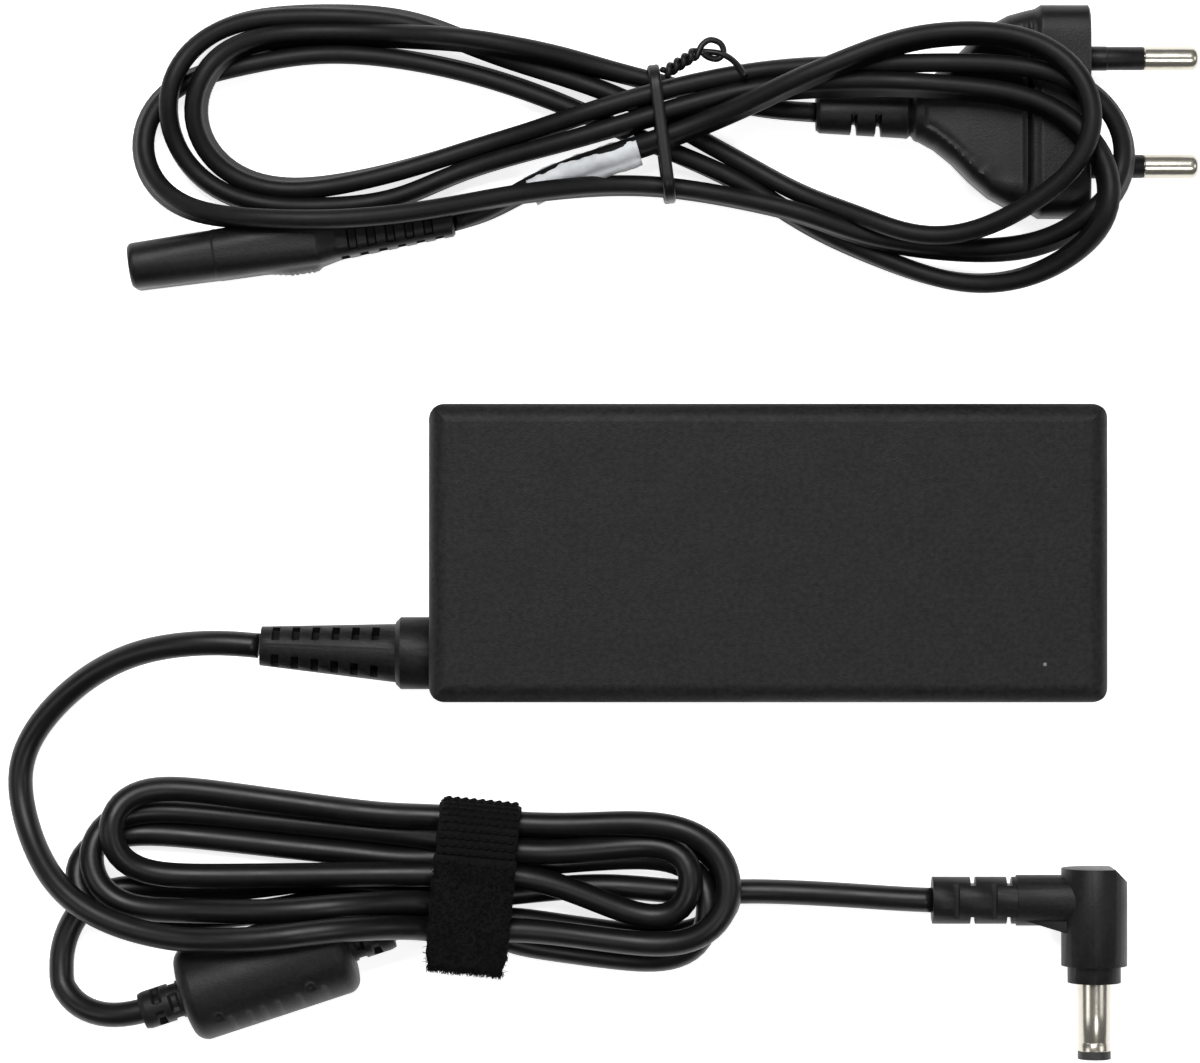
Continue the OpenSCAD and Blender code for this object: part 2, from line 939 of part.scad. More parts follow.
module mains_cord_start() {
  color([0.02, 0.02, 0.02])
    tube(mains_start_route, cord_t / 2, 8);
}

module mains_cord_end() {
  color([0.02, 0.02, 0.02])
    tube(mains_end_route, cord_t / 2 + 0.4, 8);
}

// Outer shape of the loops to the left of the tie
module mains_cord_left_coil() {
  color([0.02, 0.02, 0.02])
    linear_extrude(2 * cord_w)
      hull() {
        translate([-88.8, 71.6])
          circle(16.4, $fn = 48);
        translate([-67, 75.3])
          circle(15.4, $fn = 48);
        translate([-31, 71])
          square([4, 22.4], center = true);
      }
}

// The strands gathered in the tie
module mains_cord_crossing() {
  color([0.02, 0.02, 0.02])
    translate([-29, 70, 1])
      rotate([90, 0, 90])
        linear_extrude(21)
          translate([0, cord_w])
            round_rect(22.4, 2 * cord_w, 3);
}

// Outer shape of the loops on the right: they climb over the plug and hang past its side
module mains_cord_right_coil() {
  deck_z = plug_t + 0.3;
  color([0.02, 0.02, 0.02]) {
    // over the plug
    translate([0, 0, deck_z])
      linear_extrude(8.2)
        hull() {
          translate([30, 72])
            circle(14.8, $fn = 48);
          translate([44, 67.5])
            circle(16, $fn = 48);
          translate([40, 56.5])
            circle(15, $fn = 48);
          translate([16, 69])
            square([3, 22], center = true);
        }
    // up from the tie
    hull() {
      translate([-7.4, 70, 6.4])
        cube([1, 22, 10.4], center = true);
      translate([15.5, 70, deck_z + 4.1])
        cube([1, 22, 8.2], center = true);
    }
    // along the floor beside the plug
    hull() {
      translate([-7.4, 63, 5])
        cube([1, 8, 8], center = true);
      translate([20, 49.5, 0])
        cylinder(h = 8, r = 6, $fn = 32);
    }
    hull() {
      translate([20, 49.5, 0])
        cylinder(h = deck_z + 2, r = 6, $fn = 32);
      translate([35, 48, 0])
        cylinder(h = deck_z + 2, r = 6.4, $fn = 32);
    }
    hull() {
      translate([35, 48, 0])
        cylinder(h = deck_z + 2, r = 6.4, $fn = 32);
      translate([48.5, 49, 0])
        cylinder(h = deck_z + 2, r = 5.6, $fn = 32);
    }
  }
}

// Wire tie: a loop round the strands, a twist and an eye at the end
module twist_tie() {
  tie_t = 0.8;
  tie_w = 2;
  color([0.03, 0.03, 0.03])
    translate([-17, 70, 0]) {
      rotate([90, 0, 90])
        linear_extrude(tie_w, center = true)
          translate([0, 6.5])
            difference() {
              round_rect(25, 13, 3.5);
              round_rect(25 - 2 * tie_t, 13 - 2 * tie_t, 2.9);
            }
      translate([0.5, 12, 9.5])
        rotate([0, 90, 25])
          cylinder(h = 6, r = 0.9, $fn = 24);
      translate([7.5, 13.8, 9.5])
        rotate_extrude($fn = 32)
          translate([1.5, 0])
            circle(0.45, $fn = 12);
    }
}

module cord_tag() {
  color([0.8, 0.81, 0.82])
    translate([-28.5, 66.5, 2 * cord_w + 1.3])
      rotate([0, 0, 17])
        translate([-9, -1.6, 0])
          cube([18, 3.2, 0.4]);
}

module mains_plug_body() {
  flange_r = 4;
  color([0.035, 0.035, 0.035])
    translate([0, mains_y, mains_z])
      difference() {
        union() {
          // flange that the pins stand in
          rotate([0, 90, 0])
            translate([0, 0, flange_x])
              linear_extrude(flange_l)
                round_rect(plug_t, plug_w, flange_r);
          // shoulders that narrow towards the lead
          intersection() {
            translate([0, 0, -plug_t / 2])
              linear_extrude(plug_t)
                polygon([[22.6, -4.2], [26, -5], [31, -8.4], [37, -14.6], [flange_x + 0.1, -16.4],
                         [flange_x + 0.1, 16.4], [37, 14.6], [31, 8.4], [26, 5], [22.6, 4.2]]);
            rotate([0, 90, 0])
              translate([0, 0, 20])
                linear_extrude(flange_x - 19)
                  round_rect(plug_t - 1.2, plug_w - 1, 3.2);
          }
          translate([mains_relief_x + mains_relief_l, 0, 0])
            rotate([0, 0, 180])
              mains_relief();
        }
        // seats for the pins
        for (s = [-1, 1])
          rod_x(mains_face_x - 6, s * plug_pitch / 2, 0, 7, plug_root_r);
      }
}

module mains_relief() {
  difference() {
    rotate([0, 90, 0])
      cylinder(h = mains_relief_l, r1 = 4.2, r2 = 3.3);
    for (i = [0:3], s = [0, 180])
      translate([2 + 3.3 * i, 0, 0])
        rotate([s + 90 * (i % 2), 0, 0])
          translate([0, -2.6, 2.5])
            cube([1.2, 5.2, 3]);
  }
}

module pin_sleeves() {
  color([0.05, 0.05, 0.05])
    for (s = [-1, 1])
      translate([mains_face_x, mains_y + s * plug_pitch / 2, mains_z])
        rotate([0, 90, 0])
          difference() {
            translate([0, 0, root_proud])
              cylinder(h = sleeve_l - root_proud, r = plug_pin_d / 2);
            translate([0, 0, -1])
              cylinder(h = sleeve_l + 2, r = plug_pin_d / 2 - 0.35);
          }
}

// Round-ended pin: thin inside the sleeve, full size beyond it
module mains_pin(side) {
  color([0.8, 0.78, 0.72])
    translate([mains_face_x, mains_y + side * plug_pitch / 2, mains_z])
      rotate([0, 90, 0]) {
        translate([0, 0, -5.9])
          cylinder(h = 5.8, r = plug_root_r);
        translate([0, 0, -0.2])
          cylinder(h = sleeve_l + 0.3, r = plug_pin_d / 2 - 0.37);
        translate([0, 0, sleeve_l])
          cylinder(h = plug_pin_l - sleeve_l - 1.2, r = plug_pin_d / 2);
        translate([0, 0, plug_pin_l - 1.2])
          intersection() {
            cylinder(h = 1.2, r = plug_pin_d / 2);
            translate([0, 0, -1.45])
              sphere(r = 2.65);
          }
      }
}

// ---------- nodes ----------

top_shell();
bottom_shell();
rating_label();
light_pipe();
inlet_housing();
inlet_pin(-1);  // inlet_pin_left
inlet_pin(1);  // inlet_pin_right
dc_strain_relief();
circuit_board();
insulating_film();
primary_heatsink();
secondary_heatsink();
heatsink_screws();
fuse();
x_capacitor();
choke_core();
choke_windings();
bridge_rectifier();
bulk_capacitor();
transformer_core();
transformer_bobbin();
transformer_winding();
power_transistor();
output_rectifier();
output_capacitors();
output_inductor();
y_capacitor();
optocoupler();
control_chip();
thermistor();
indicator_led();
inlet_wires();
output_wires();
dc_cord_exit();
dc_cord_hank();
dc_cord_bead_loop();
dc_cord_return();
dc_cord_plug_end();
ferrite_cover();
ferrite_core();
cable_strap();
strap_tail();
plug_grip();
plug_barrel();
plug_tip_ring();
plug_inner_contact();
connector_body();
connector_contact(1);  // connector_contact_upper
connector_contact(-1);  // connector_contact_lower
mains_cord_start();
mains_cord_left_coil();
mains_cord_crossing();
mains_cord_right_coil();
mains_cord_end();
twist_tie();
cord_tag();
mains_plug_body();
pin_sleeves();
mains_pin(1);  // mains_pin_upper
mains_pin(-1);  // mains_pin_lower
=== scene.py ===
"""Looks of a laptop power adapter with its mains lead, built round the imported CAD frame.

Shapes are worked out in millimetres, in the CAD's own frame, and become metres when a mesh is made.
"""
import json
import math

import bmesh
import bpy
import numpy as np
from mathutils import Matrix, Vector


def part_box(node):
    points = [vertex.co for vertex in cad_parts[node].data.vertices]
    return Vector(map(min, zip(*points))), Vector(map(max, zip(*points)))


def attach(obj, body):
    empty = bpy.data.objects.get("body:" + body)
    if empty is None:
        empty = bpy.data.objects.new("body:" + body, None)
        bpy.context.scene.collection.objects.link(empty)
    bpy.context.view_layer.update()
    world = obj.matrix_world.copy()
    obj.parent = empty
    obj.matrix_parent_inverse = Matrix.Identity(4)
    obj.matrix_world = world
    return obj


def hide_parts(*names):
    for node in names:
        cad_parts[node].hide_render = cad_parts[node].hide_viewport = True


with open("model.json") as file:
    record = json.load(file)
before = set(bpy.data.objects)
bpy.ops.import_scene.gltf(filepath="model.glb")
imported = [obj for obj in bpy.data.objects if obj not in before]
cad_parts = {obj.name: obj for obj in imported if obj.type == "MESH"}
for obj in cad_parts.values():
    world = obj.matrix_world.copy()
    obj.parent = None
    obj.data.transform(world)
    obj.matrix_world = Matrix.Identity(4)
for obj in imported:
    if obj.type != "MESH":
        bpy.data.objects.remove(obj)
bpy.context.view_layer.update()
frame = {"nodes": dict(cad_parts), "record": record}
nodes = frame["nodes"]
MM = 0.001


# ---------- camera ----------

camera_data = bpy.data.cameras.new("camera")
camera_data.sensor_width = 36
camera_data.lens = 135.1
camera_data.clip_start = 0.01
camera_data.clip_end = 20
camera = bpy.data.objects.new("camera", camera_data)
camera.location = (-0.027, 0.00345, 0.75)
bpy.context.scene.collection.objects.link(camera)
bpy.context.scene.camera = camera


# ---------- lines in space ----------

def resample(points, step):
    """Points along a smooth curve through the given ones, step apart."""
    p = np.array(points, float)
    p = np.vstack([2 * p[0] - p[1], p, 2 * p[-1] - p[-2]])
    fine = []
    for i in range(1, len(p) - 2):
        t = np.cumsum([0] + [max(np.linalg.norm(p[i + k] - p[i + k - 1]), 1e-9) ** 0.5 for k in (0, 1, 2)])
        u = np.linspace(t[1], t[2], 24, endpoint=False)[:, None]
        a = [((t[k + 1] - u) * p[i - 1 + k] + (u - t[k]) * p[i + k]) / (t[k + 1] - t[k]) for k in range(3)]
        b = [((t[k + 2] - u) * a[k] + (u - t[k]) * a[k + 1]) / (t[k + 2] - t[k]) for k in range(2)]
        fine.append(((t[2] - u) * b[0] + (u - t[1]) * b[1]) / (t[2] - t[1]))
    fine = np.vstack(fine + [p[-2][None]])
    along = np.concatenate([[0], np.cumsum(np.linalg.norm(np.diff(fine, axis=0), axis=1))])
    count = max(int(round(along[-1] / step)), 2)
    at = np.linspace(0, along[-1], count + 1)
    return np.column_stack([np.interp(at, along, fine[:, k]) for k in range(3)])


def bend(side, centre, radii, height, turn=0.0, steps=9):
    """Half a lap round one end of a hank, anticlockwise from above.

    side is 1 for the right end and -1 for the left, and turn leans the lap, in degrees. height is three
    numbers: where the half lap starts, at its far end and where it stops.
    """
    points = []
    for k in range(steps):
        share = k / (steps - 1)
        angle = math.radians(-90 + 180 * share + (0 if side > 0 else 180))
        x = radii[0] * math.cos(angle)
        y = radii[1] * math.sin(angle)
        c, s = math.cos(math.radians(turn)), math.sin(math.radians(turn))
        z = np.interp(share, [0, 0.5, 1], height)
        points.append((centre[0] + c * x - s * y, centre[1] + s * x + c * y, z))
    return points


def evened(points, rounds, held=None):
    """Takes small kinks out of a line. held marks the points that don't move."""
    p = points.copy()
    for _ in range(rounds):
        p[1:-1] = 0.5 * p[1:-1] + 0.25 * (p[:-2] + p[2:])
        if held is not None:
            p[held] = points[held]
    return p


def settle(line, size, held, hold, limits, rounds, spacing):
    """Lays a cord down: strands push each other apart, and nothing goes past its limits.

    size is the cord's half width and half height. held marks the points that don't move, and hold says
    how hard the others are drawn back to the line that they started on.
    """
    p = line.copy()
    scale = np.array([1, 1, size[0] / size[1]])
    apart = 2 * size[0] * 1.01
    relist = 20
    step_share = 0.3
    smoothing = 0.35
    settling = 0.01
    index = np.arange(len(p))
    skip = int(math.ceil(6.5 * size[0] / spacing))
    first, second = np.nonzero(index[None, :] - index[:, None] > skip)
    for turn in range(rounds):
        if turn % relist == 0:
            q = p * scale
            gap = q[first] - q[second]
            near = (gap ** 2).sum(1) < (apart * 2.2) ** 2
            a, b = first[near], second[near]
        gap = (p[a] - p[b]) * scale
        distance = np.sqrt((gap ** 2).sum(1)) + 1e-6
        push = (np.maximum(apart - distance, 0) / distance)[:, None] * gap / scale
        shift = np.zeros_like(p)
        np.add.at(shift, a, push)
        np.add.at(shift, b, -push)
        off = p + step_share * shift - line
        inner = off[1:-1]
        off[1:-1] = inner + smoothing * ((off[:-2] + off[2:]) / 2 - inner)
        off *= 1 - hold * np.array([1, 1, 0.3])
        off[:, 2] -= settling
        off[held] = 0
        p = limits(line + off)
    return p


def clear_of_rod(p, start, end, radius, free):
    """Moves points out of a round rod, square to its axis. free marks points that may be inside."""
    axis = end - start
    share = np.clip(((p - start) @ axis) / (axis @ axis), 0, 1)
    away = p - (start + share[:, None] * axis)
    distance = np.linalg.norm(away, axis=1)
    inside = (distance < radius) & ~free
    factor = np.where(inside, radius / np.maximum(distance, 1e-6), 1)
    return p + away * (factor - 1)[:, None]


# ---------- DC cord: brick, hank in the strap, ferrite bead, hank, plug ----------

DC_D = 4.1
STRAP_AT = (-47.8, -54.1)
STRAP_TURN = math.radians(-5.4)
STRAP_HIGH = 12.2
STRAP_ACROSS = 26.4
STRAP_FLAT = (STRAP_ACROSS - STRAP_HIGH) / 2
BEAD_R = 7.8
BEAD_RELIEF_R = 3.15
BEAD_AT = np.array([-81.9, -68.9, BEAD_R])
BEAD_AXIS = np.array([math.cos(math.radians(18.2)), math.sin(math.radians(18.2)), 0])

exit_route = [
    (-82.7, -15.2, 14.75), (-88, -14.7, 14.5), (-93, -14.8, 13.8), (-101, -15.9, 11.4),
    (-108, -18.5, 8.4), (-114.4, -22.7, 5.4), (-119.8, -28.2, 3.2), (-122.8, -33.2, 2.3),
    (-123.6, -37.5, 2.1), (-123.1, -41.1, 2.4), (-122.3, -44.4, 3.2), (-121, -47.8, 4.6),
    (-119.2, -51.1, 6.4), (-116.8, -54.5, 8.3), (-113.4, -57.5, 9.9), (-109.4, -59.8, 11),
    (-106, -61.2, 11.7), (-102.5, -62.1, 12.5), (-99, -62.8, 13.4), (-95.6, -63.3, 14.4),
    (-92.3, -63.3, 15.2), (-88.9, -63.2, 16.2), (-85.6, -63, 17), (-82.3, -62.9, 17.4),
    (-79, -62.5, 17.8), (-75.8, -62, 18), (-72.5, -61.6, 18), (-69.3, -61.3, 17.7),
    (-66.5, -61.2, 16.4), (-63.8, -61.3, 14.6), (-61.4, -61.4, 12.8), (-59.5, -61.5, 11.1),
    (-57.8, -61.5, 9.7),
]
bead_route = [
    (-113.6, -58.2, 2.1), (-115.2, -61.2, 2.1), (-116.6, -64.6, 2.1), (-117.3, -68.1, 2.2),
    (-116.7, -71.7, 2.9), (-114.3, -74.7, 4.3), (-110.6, -76.3, 6), (-106.4, -76.6, 7.3),
    (-102.4, -75.65, 7.8),
]
return_route = [(-61.4, -62.15, 7.8), (-59.4, -61.5, 6.6), (-57.6, -60.9, 5.2)]
plug_route = [
    (-4.5, -56.4, 2.1), (2.9, -56.4, 2.3), (9.5, -56.6, 3.1), (16, -56.9, 4.2),
    (22.5, -57.3, 5.2), (27.9, -57.5, 5.45),
]


def strap_point(along, across, height):
    """A place given along the cord through the strap's middle, across it, and above the floor."""
    c, s = math.cos(STRAP_TURN), math.sin(STRAP_TURN)
    return (STRAP_AT[0] + c * along - s * across, STRAP_AT[1] + s * along + c * across, height)


def strap_pass(left, right, rightward):
    """A strand through the strap. left and right are its place across the strap and its height there."""
    points = [strap_point(-8.5, *left), strap_point(0, (left[0] + right[0]) / 2, (left[1] + right[1]) / 2),
              strap_point(8.5, *right)]
    return points if rightward else points[::-1]


dc_line = exit_route[:-1]
dc_line += strap_pass((-8.6, 7.8), (-7.2, 8.7), True)
dc_line += bend(1, (-14.7, -55.0), (9.9, 9.9), (8.5, 10.5, 9.5))
dc_line += strap_pass((8.8, 6.6), (9.4, 6.3), False)
dc_line += bend(-1, (-101.9, -45.9), (7.3, 7.3), (7, 9, 8))
dc_line += strap_pass((0.3, 8.8), (1.8, 8.8), True)
dc_line += bend(1, (-16.6, -54.4), (7.2, 6.9), (6.5, 6.5, 6.5))
dc_line += strap_pass((5.8, 3.5), (5.2, 8.4), False)
dc_line += bend(-1, (-104.2, -51.2), (7.9, 7.9), (4, 7.4, 9))
dc_line += [(-95, -58.8, 10.6), (-88, -58.9, 12.8), (-80, -58.8, 14.8), (-73, -58.4, 15.5), (-67, -58.1, 14),
            (-61, -57.8, 11.2)]
dc_line += strap_pass((-4.3, 8.8), (-9.6, 5.5), True)
dc_line += bend(1, (-15.5, -58.8), (8.3, 8.3), (3, 6, 3))
dc_line += strap_pass((1.9, 3.5), (3.6, 3.5), False)
dc_line += bend(-1, (-106.9, -53.2), (7.7, 7.7), (2.1, 5.6, 6.2))
dc_line += [(-80, -59.4, 2.1), (-70, -56.9, 2.1)]
dc_line += strap_pass((-6.2, 3.5), (-6.3, 3.5), True)
dc_line += bend(1, (-15.4, -55.8), (9.2, 9.2), (2.5, 6.3, 4))
dc_line += strap_pass((-2.2, 3.5), (7.5, 3.5), False)
dc_line += [(-80, -55.6, 2.1), (-92, -56.2, 2.1), (-101, -55.6, 2.1), (-108, -55.4, 2.1), (-112, -56.4, 2.1)]
dc_line += bead_route
dc_line += [tuple(BEAD_AT - 14 * BEAD_AXIS), tuple(BEAD_AT), tuple(BEAD_AT + 14 * BEAD_AXIS)]
dc_line += return_route[:-1]
dc_line += strap_pass((-7.0, 4.5), (-1.8, 3.4), True)
dc_line += [(-27, -55.3, 2.1), (-15, -56.1, 2.1)]
dc_line += plug_route
dc_step = 2.0
dc_line = evened(resample(dc_line, dc_step), 5)


def nearest(line, point):
    """Index of the line's point nearest to a place."""
    return int(np.argmin(((line - np.array(point)) ** 2).sum(1)))


def dc_limits(p):
    """Floor, ferrite bead and the inside of the strap."""
    p[:, 2] = np.maximum(p[:, 2], DC_D / 2)
    start, end = BEAD_AT - 13 * BEAD_AXIS, BEAD_AT + 12 * BEAD_AXIS
    p = clear_of_rod(p, start, end, BEAD_R + DC_D / 2, dc_in_bead)
    start, end = BEAD_AT - 21 * BEAD_AXIS, BEAD_AT + 21 * BEAD_AXIS
    p = clear_of_rod(p, start, end, BEAD_RELIEF_R + 0.15 + DC_D / 2, dc_in_bead)
    p[:, 2] = np.maximum(p[:, 2], DC_D / 2)
    c, s = math.cos(STRAP_TURN), math.sin(STRAP_TURN)
    along = c * (p[:, 0] - STRAP_AT[0]) + s * (p[:, 1] - STRAP_AT[1])
    across = -s * (p[:, 0] - STRAP_AT[0]) + c * (p[:, 1] - STRAP_AT[1])
    up = p[:, 2] - STRAP_HIGH / 2
    inside = np.abs(along) < 7.6
    half_flat = 7.2
    room = 2.75
    flat = np.clip(across, -half_flat, half_flat)
    reach = np.hypot(across - flat, up)
    factor = np.where(inside & (reach > room), room / np.maximum(reach, 1e-6), 1)
    across = flat + (across - flat) * factor
    up = up * factor
    p[:, 0] = STRAP_AT[0] + c * along - s * across
    p[:, 1] = STRAP_AT[1] + s * along + c * across
    p[:, 2] = up + STRAP_HIGH / 2
    return p


first_free = nearest(dc_line, exit_route[25])
bead_in = nearest(dc_line, bead_route[4])
bead_out = nearest(dc_line, return_route[1])
last_free = nearest(dc_line, plug_route[2])
dc_in_bead = np.zeros(len(dc_line), bool)
dc_in_bead[bead_in:bead_out + 1] = True
dc_held = dc_in_bead.copy()
dc_held[:first_free] = True
dc_held[last_free:] = True
dc_path = settle(dc_line, (DC_D / 2, DC_D / 2), dc_held, 0.02, dc_limits, 300, dc_step)
dc_path = evened(dc_path, 6, dc_held)


# ---------- mains cord: connector, loops and tie, plug ----------

CORD_W = 5.4
CORD_T = 3.2
start_route = [(-51.1, 54.6, 7), (-48, 55.1, 6.5), (-44.6, 56.6, 5), (-41.5, 59, 3.6)]
end_route = [(-6, 74.5, 5.4), (-1, 73.4, 5.9), (4, 72.8, 6.6), (8.6, 72.6, 6.85)]


def arc(centre, radii, first, last, height, steps=13):
    """Points round an ellipse between two angles, for one end of a loop."""
    share = np.linspace(0, 1, steps)
    angle = np.radians(first + (last - first) * share)
    z = np.interp(share, np.linspace(0, 1, len(height)), height)
    return list(zip(centre[0] + radii[0] * np.cos(angle), centre[1] + radii[1] * np.sin(angle), z))


mains_line = list(start_route)
# from the connector over the others in the tie, to the outer right loop
mains_line += [(-36.5, 61.7, 4), (-31, 63.6, 5.6), (-25, 65.5, 7.4), (-17, 67.9, 9.2), (-10.4, 70.3, 9.6),
               (-3.8, 73.3, 11.5), (4.4, 76.6, 15), (13.8, 80, 18), (22, 83.6, 18.4)]
mains_line += arc((35.6, 70.3), (18.2, 14.5), 90, -60, (18, 22, 22.2, 22, 19.5))
mains_line += [(38, 53.6, 16.5), (30, 51.2, 13.5), (24, 51.4, 11.5), (18.5, 52.9, 9.5), (12, 55.8, 7.5),
               (5.8, 59, 5.5), (-3.6, 64.6, 3.6), (-9.2, 67.7, 3.5), (-18.6, 73.2, 3.5), (-26.8, 77.1, 3),
               (-35, 80.3, 2.7), (-43.4, 82.3, 2.7), (-51.6, 85.4, 2.7), (-60, 88.1, 2.7)]
mains_line += arc((-81.6, 73.2), (17.7, 15.9), 90, 270, (2.7, 6.5, 2.7, 2.7))
mains_line += [(-60, 58.4, 2.7), (-51.6, 63.2, 3.2), (-43.5, 65.6, 5), (-33.6, 67.5, 8), (-27, 69.4, 9),
               (-19.7, 71.5, 9.2), (-10.4, 73.9, 9.8), (6, 76.6, 12)]
mains_line += arc((35.6, 59.6), (20.6, 15.8), 90, -90, (16.6, 16.6, 16.6, 13, 8))
mains_line += [(26.6, 45.8, 5.5), (19.3, 49, 3.6), (12.7, 51.6, 2.9), (6, 55, 2.7), (0.3, 58.9, 2.7),
               (-3.9, 61.9, 2.7), (-10.5, 64.6, 3.2), (-18.7, 67.7, 3.5), (-27, 71.7, 3.2),
               (-35.2, 75.2, 2.8),
               (-43.5, 78.2, 2.7), (-55, 81.1, 2.7), (-73.3, 83.1, 2.7)]
mains_line += arc((-87.9, 67.7), (16.0, 12.9), 90, 270, (2.7, 2.7, 6, 14.5))
mains_line += [(-80, 54.3, 16.9), (-72, 54.2, 16.9), (-64, 54.8, 16), (-57, 55.7, 14.8), (-50, 57.0, 12.2),
               (-43.5, 58.5, 9.6), (-37, 59.6, 8),
               (-27, 60.8, 5), (-17, 60.8, 3.6), (-3.9, 58.6, 6), (6, 56.5, 8.6), (14.2, 54.4, 9),
               (22.5, 51.2, 9)]
mains_line += arc((39.6, 64.6), (20.2, 15.1), -90, 90, (9, 10, 13.2, 16.6, 16.6))
mains_line += [(30, 79.9, 16.6), (22, 79.8, 15.4), (14, 80, 13.6), (6, 79.8, 12), (-0.6, 79.3, 10.6),
               (-7.2, 78.3, 9.8), (-13.8, 76.8, 9.3), (-20.4, 75.1, 9.2), (-27, 73.2, 8.8), (-34, 70.9, 7),
               (-43.5, 67.8, 3.8), (-53, 65.3, 2.7), (-60, 63.2, 2.7)]
mains_line += arc((-79.1, 72.8), (15.7, 13.2), -90, -270, (2.7, 2.7, 7.5, 6, 2.7))
mains_line += [(-60, 86, 3.5), (-51.6, 85.1, 7), (-43.5, 83.4, 7.5), (-35.3, 81.7, 5), (-27, 80.1, 3.5),
               (-18.7, 78.1, 3.5), (-10.5, 76.1, 3.6)]
mains_line += end_route
mains_step = 2.0
mains_line = evened(resample(mains_line, mains_step), 10)


def plug_height(x, y):
    """Height of the plug's upper side."""
    off = np.abs(y - 72.6)
    half = np.interp(x, [22, 26, 31, 37, 44.8], [4.6, 5.4, 8.8, 15, 17])
    deck = np.where((x > 22) & (x < 54.6) & (off < half), 13.7, 0)
    round_part = 6.85 + np.sqrt(np.maximum(4.4 ** 2 - off ** 2, 0))
    return np.where((x > 8) & (x <= 23.5) & (off < 4.4), np.maximum(deck, round_part), deck)


def mains_limits(p):
    """Floor, plug and the inside of the tie."""
    clear = np.zeros(len(p))
    for dx, dy in ((0, 0), (1.6, 0), (-1.6, 0), (0, 1.6), (0, -1.6)):
        clear = np.maximum(clear, plug_height(p[:, 0] + dx, p[:, 1] + dy))
    clear[mains_held] = 0
    p[:, 2] = np.maximum(p[:, 2], clear + CORD_W / 2)
    tied = np.abs(p[:, 0] + 17) < 2.5
    p[:, 1] = np.where(tied, np.clip(p[:, 1], 60.2, 79.8), p[:, 1])
    p[:, 2] = np.where(tied, np.clip(p[:, 2], 3.5, 9.5), p[:, 2])
    return p


mains_held = np.zeros(len(mains_line), bool)
mains_held[:nearest(mains_line[:40], start_route[-1]) + 1] = True
mains_held[-6:] = True
mains_path = settle(mains_line, (CORD_T / 2, CORD_W / 2), mains_held, 0.02, mains_limits, 300, mains_step)
mains_path = evened(mains_path, 5, mains_held)


# ---------- making pieces ----------

def outward_mesh(name, verts, faces):
    """A smooth mesh in metres, with no doubled points and all its faces turned outwards."""
    mesh = bpy.data.meshes.new(name)
    mesh.from_pydata([tuple(v) for v in verts], [], [tuple(f) for f in faces])
    mesh.validate()
    mesh.update()
    work = bmesh.new()
    work.from_mesh(mesh)
    bmesh.ops.remove_doubles(work, verts=work.verts, dist=2e-6)
    bmesh.ops.recalc_face_normals(work, faces=work.faces)
    work.to_mesh(mesh)
    work.free()
    for face in mesh.polygons:
        face.use_smooth = True
    return mesh


def add_mesh(name, verts, faces, body):
    """A new mesh piece in metres, riding on a body."""
    piece = bpy.data.objects.new(name, outward_mesh(name, verts, faces))
    bpy.context.scene.collection.objects.link(piece)
    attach(piece, body)
    return piece


def skin(rows, sides, closed=False):
    """Faces over rows of points. closed joins the last row to the first, otherwise both ends get a cap."""
    faces = []
    for i in range(rows if closed else rows - 1):
        j = (i + 1) % rows
        for k in range(sides):
            n = (k + 1) % sides
            faces.append((i * sides + k, i * sides + n, j * sides + n, j * sides + k))
    if not closed:
        faces.append(tuple(range(sides)))
        faces.append(tuple((rows - 1) * sides + k for k in range(sides)))
    return faces


def tube_mesh(path, section, rolls=None):
    """Vertices and faces of a closed tube. section is points (across, up), rolls the lean at each point."""
    path = np.array(path, float)
    section = np.array(section, float)
    count, sides = len(path), len(section)
    heading = np.gradient(path, axis=0)
    heading /= np.linalg.norm(heading, axis=1)[:, None]
    across = np.cross(heading, [0, 0, 1])
    across /= np.maximum(np.linalg.norm(across, axis=1), 1e-9)[:, None]
    up = np.cross(across, heading)
    lean = np.zeros(count) if rolls is None else np.array(rolls, float)
    c, s = np.cos(lean)[:, None], np.sin(lean)[:, None]
    across, up = c * across + s * up, c * up - s * across
    verts = (path[:, None, :] + section[None, :, 0:1] * across[:, None, :]
             + section[None, :, 1:2] * up[:, None, :])
    return verts.reshape(-1, 3), skin(count, sides)


def ring_section(radius, sides):
    """Outline of a round cord."""
    angle = np.linspace(0, 2 * math.pi, sides, endpoint=False)
    return np.column_stack([radius * np.cos(angle), radius * np.sin(angle)])


def join_meshes(parts):
    """One list of vertices and faces from several."""
    verts, faces = [], []
    for v, f in parts:
        start = len(verts)
        verts.extend([tuple(p) for p in v])
        faces.extend([tuple(start + i for i in face) for face in f])
    return verts, faces


# ---------- materials ----------

def shader(name, colour, rough, metallic=0.0, gloss=0.5):
    """A new material and its shader node."""
    mat = bpy.data.materials.new(name)
    mat.use_nodes = True
    node = mat.node_tree.nodes["Principled BSDF"]
    node.inputs["Base Color"].default_value = (*colour, 1)
    node.inputs["Roughness"].default_value = rough
    node.inputs["Metallic"].default_value = metallic
    node.inputs["Specular IOR Level"].default_value = gloss
    return mat, node


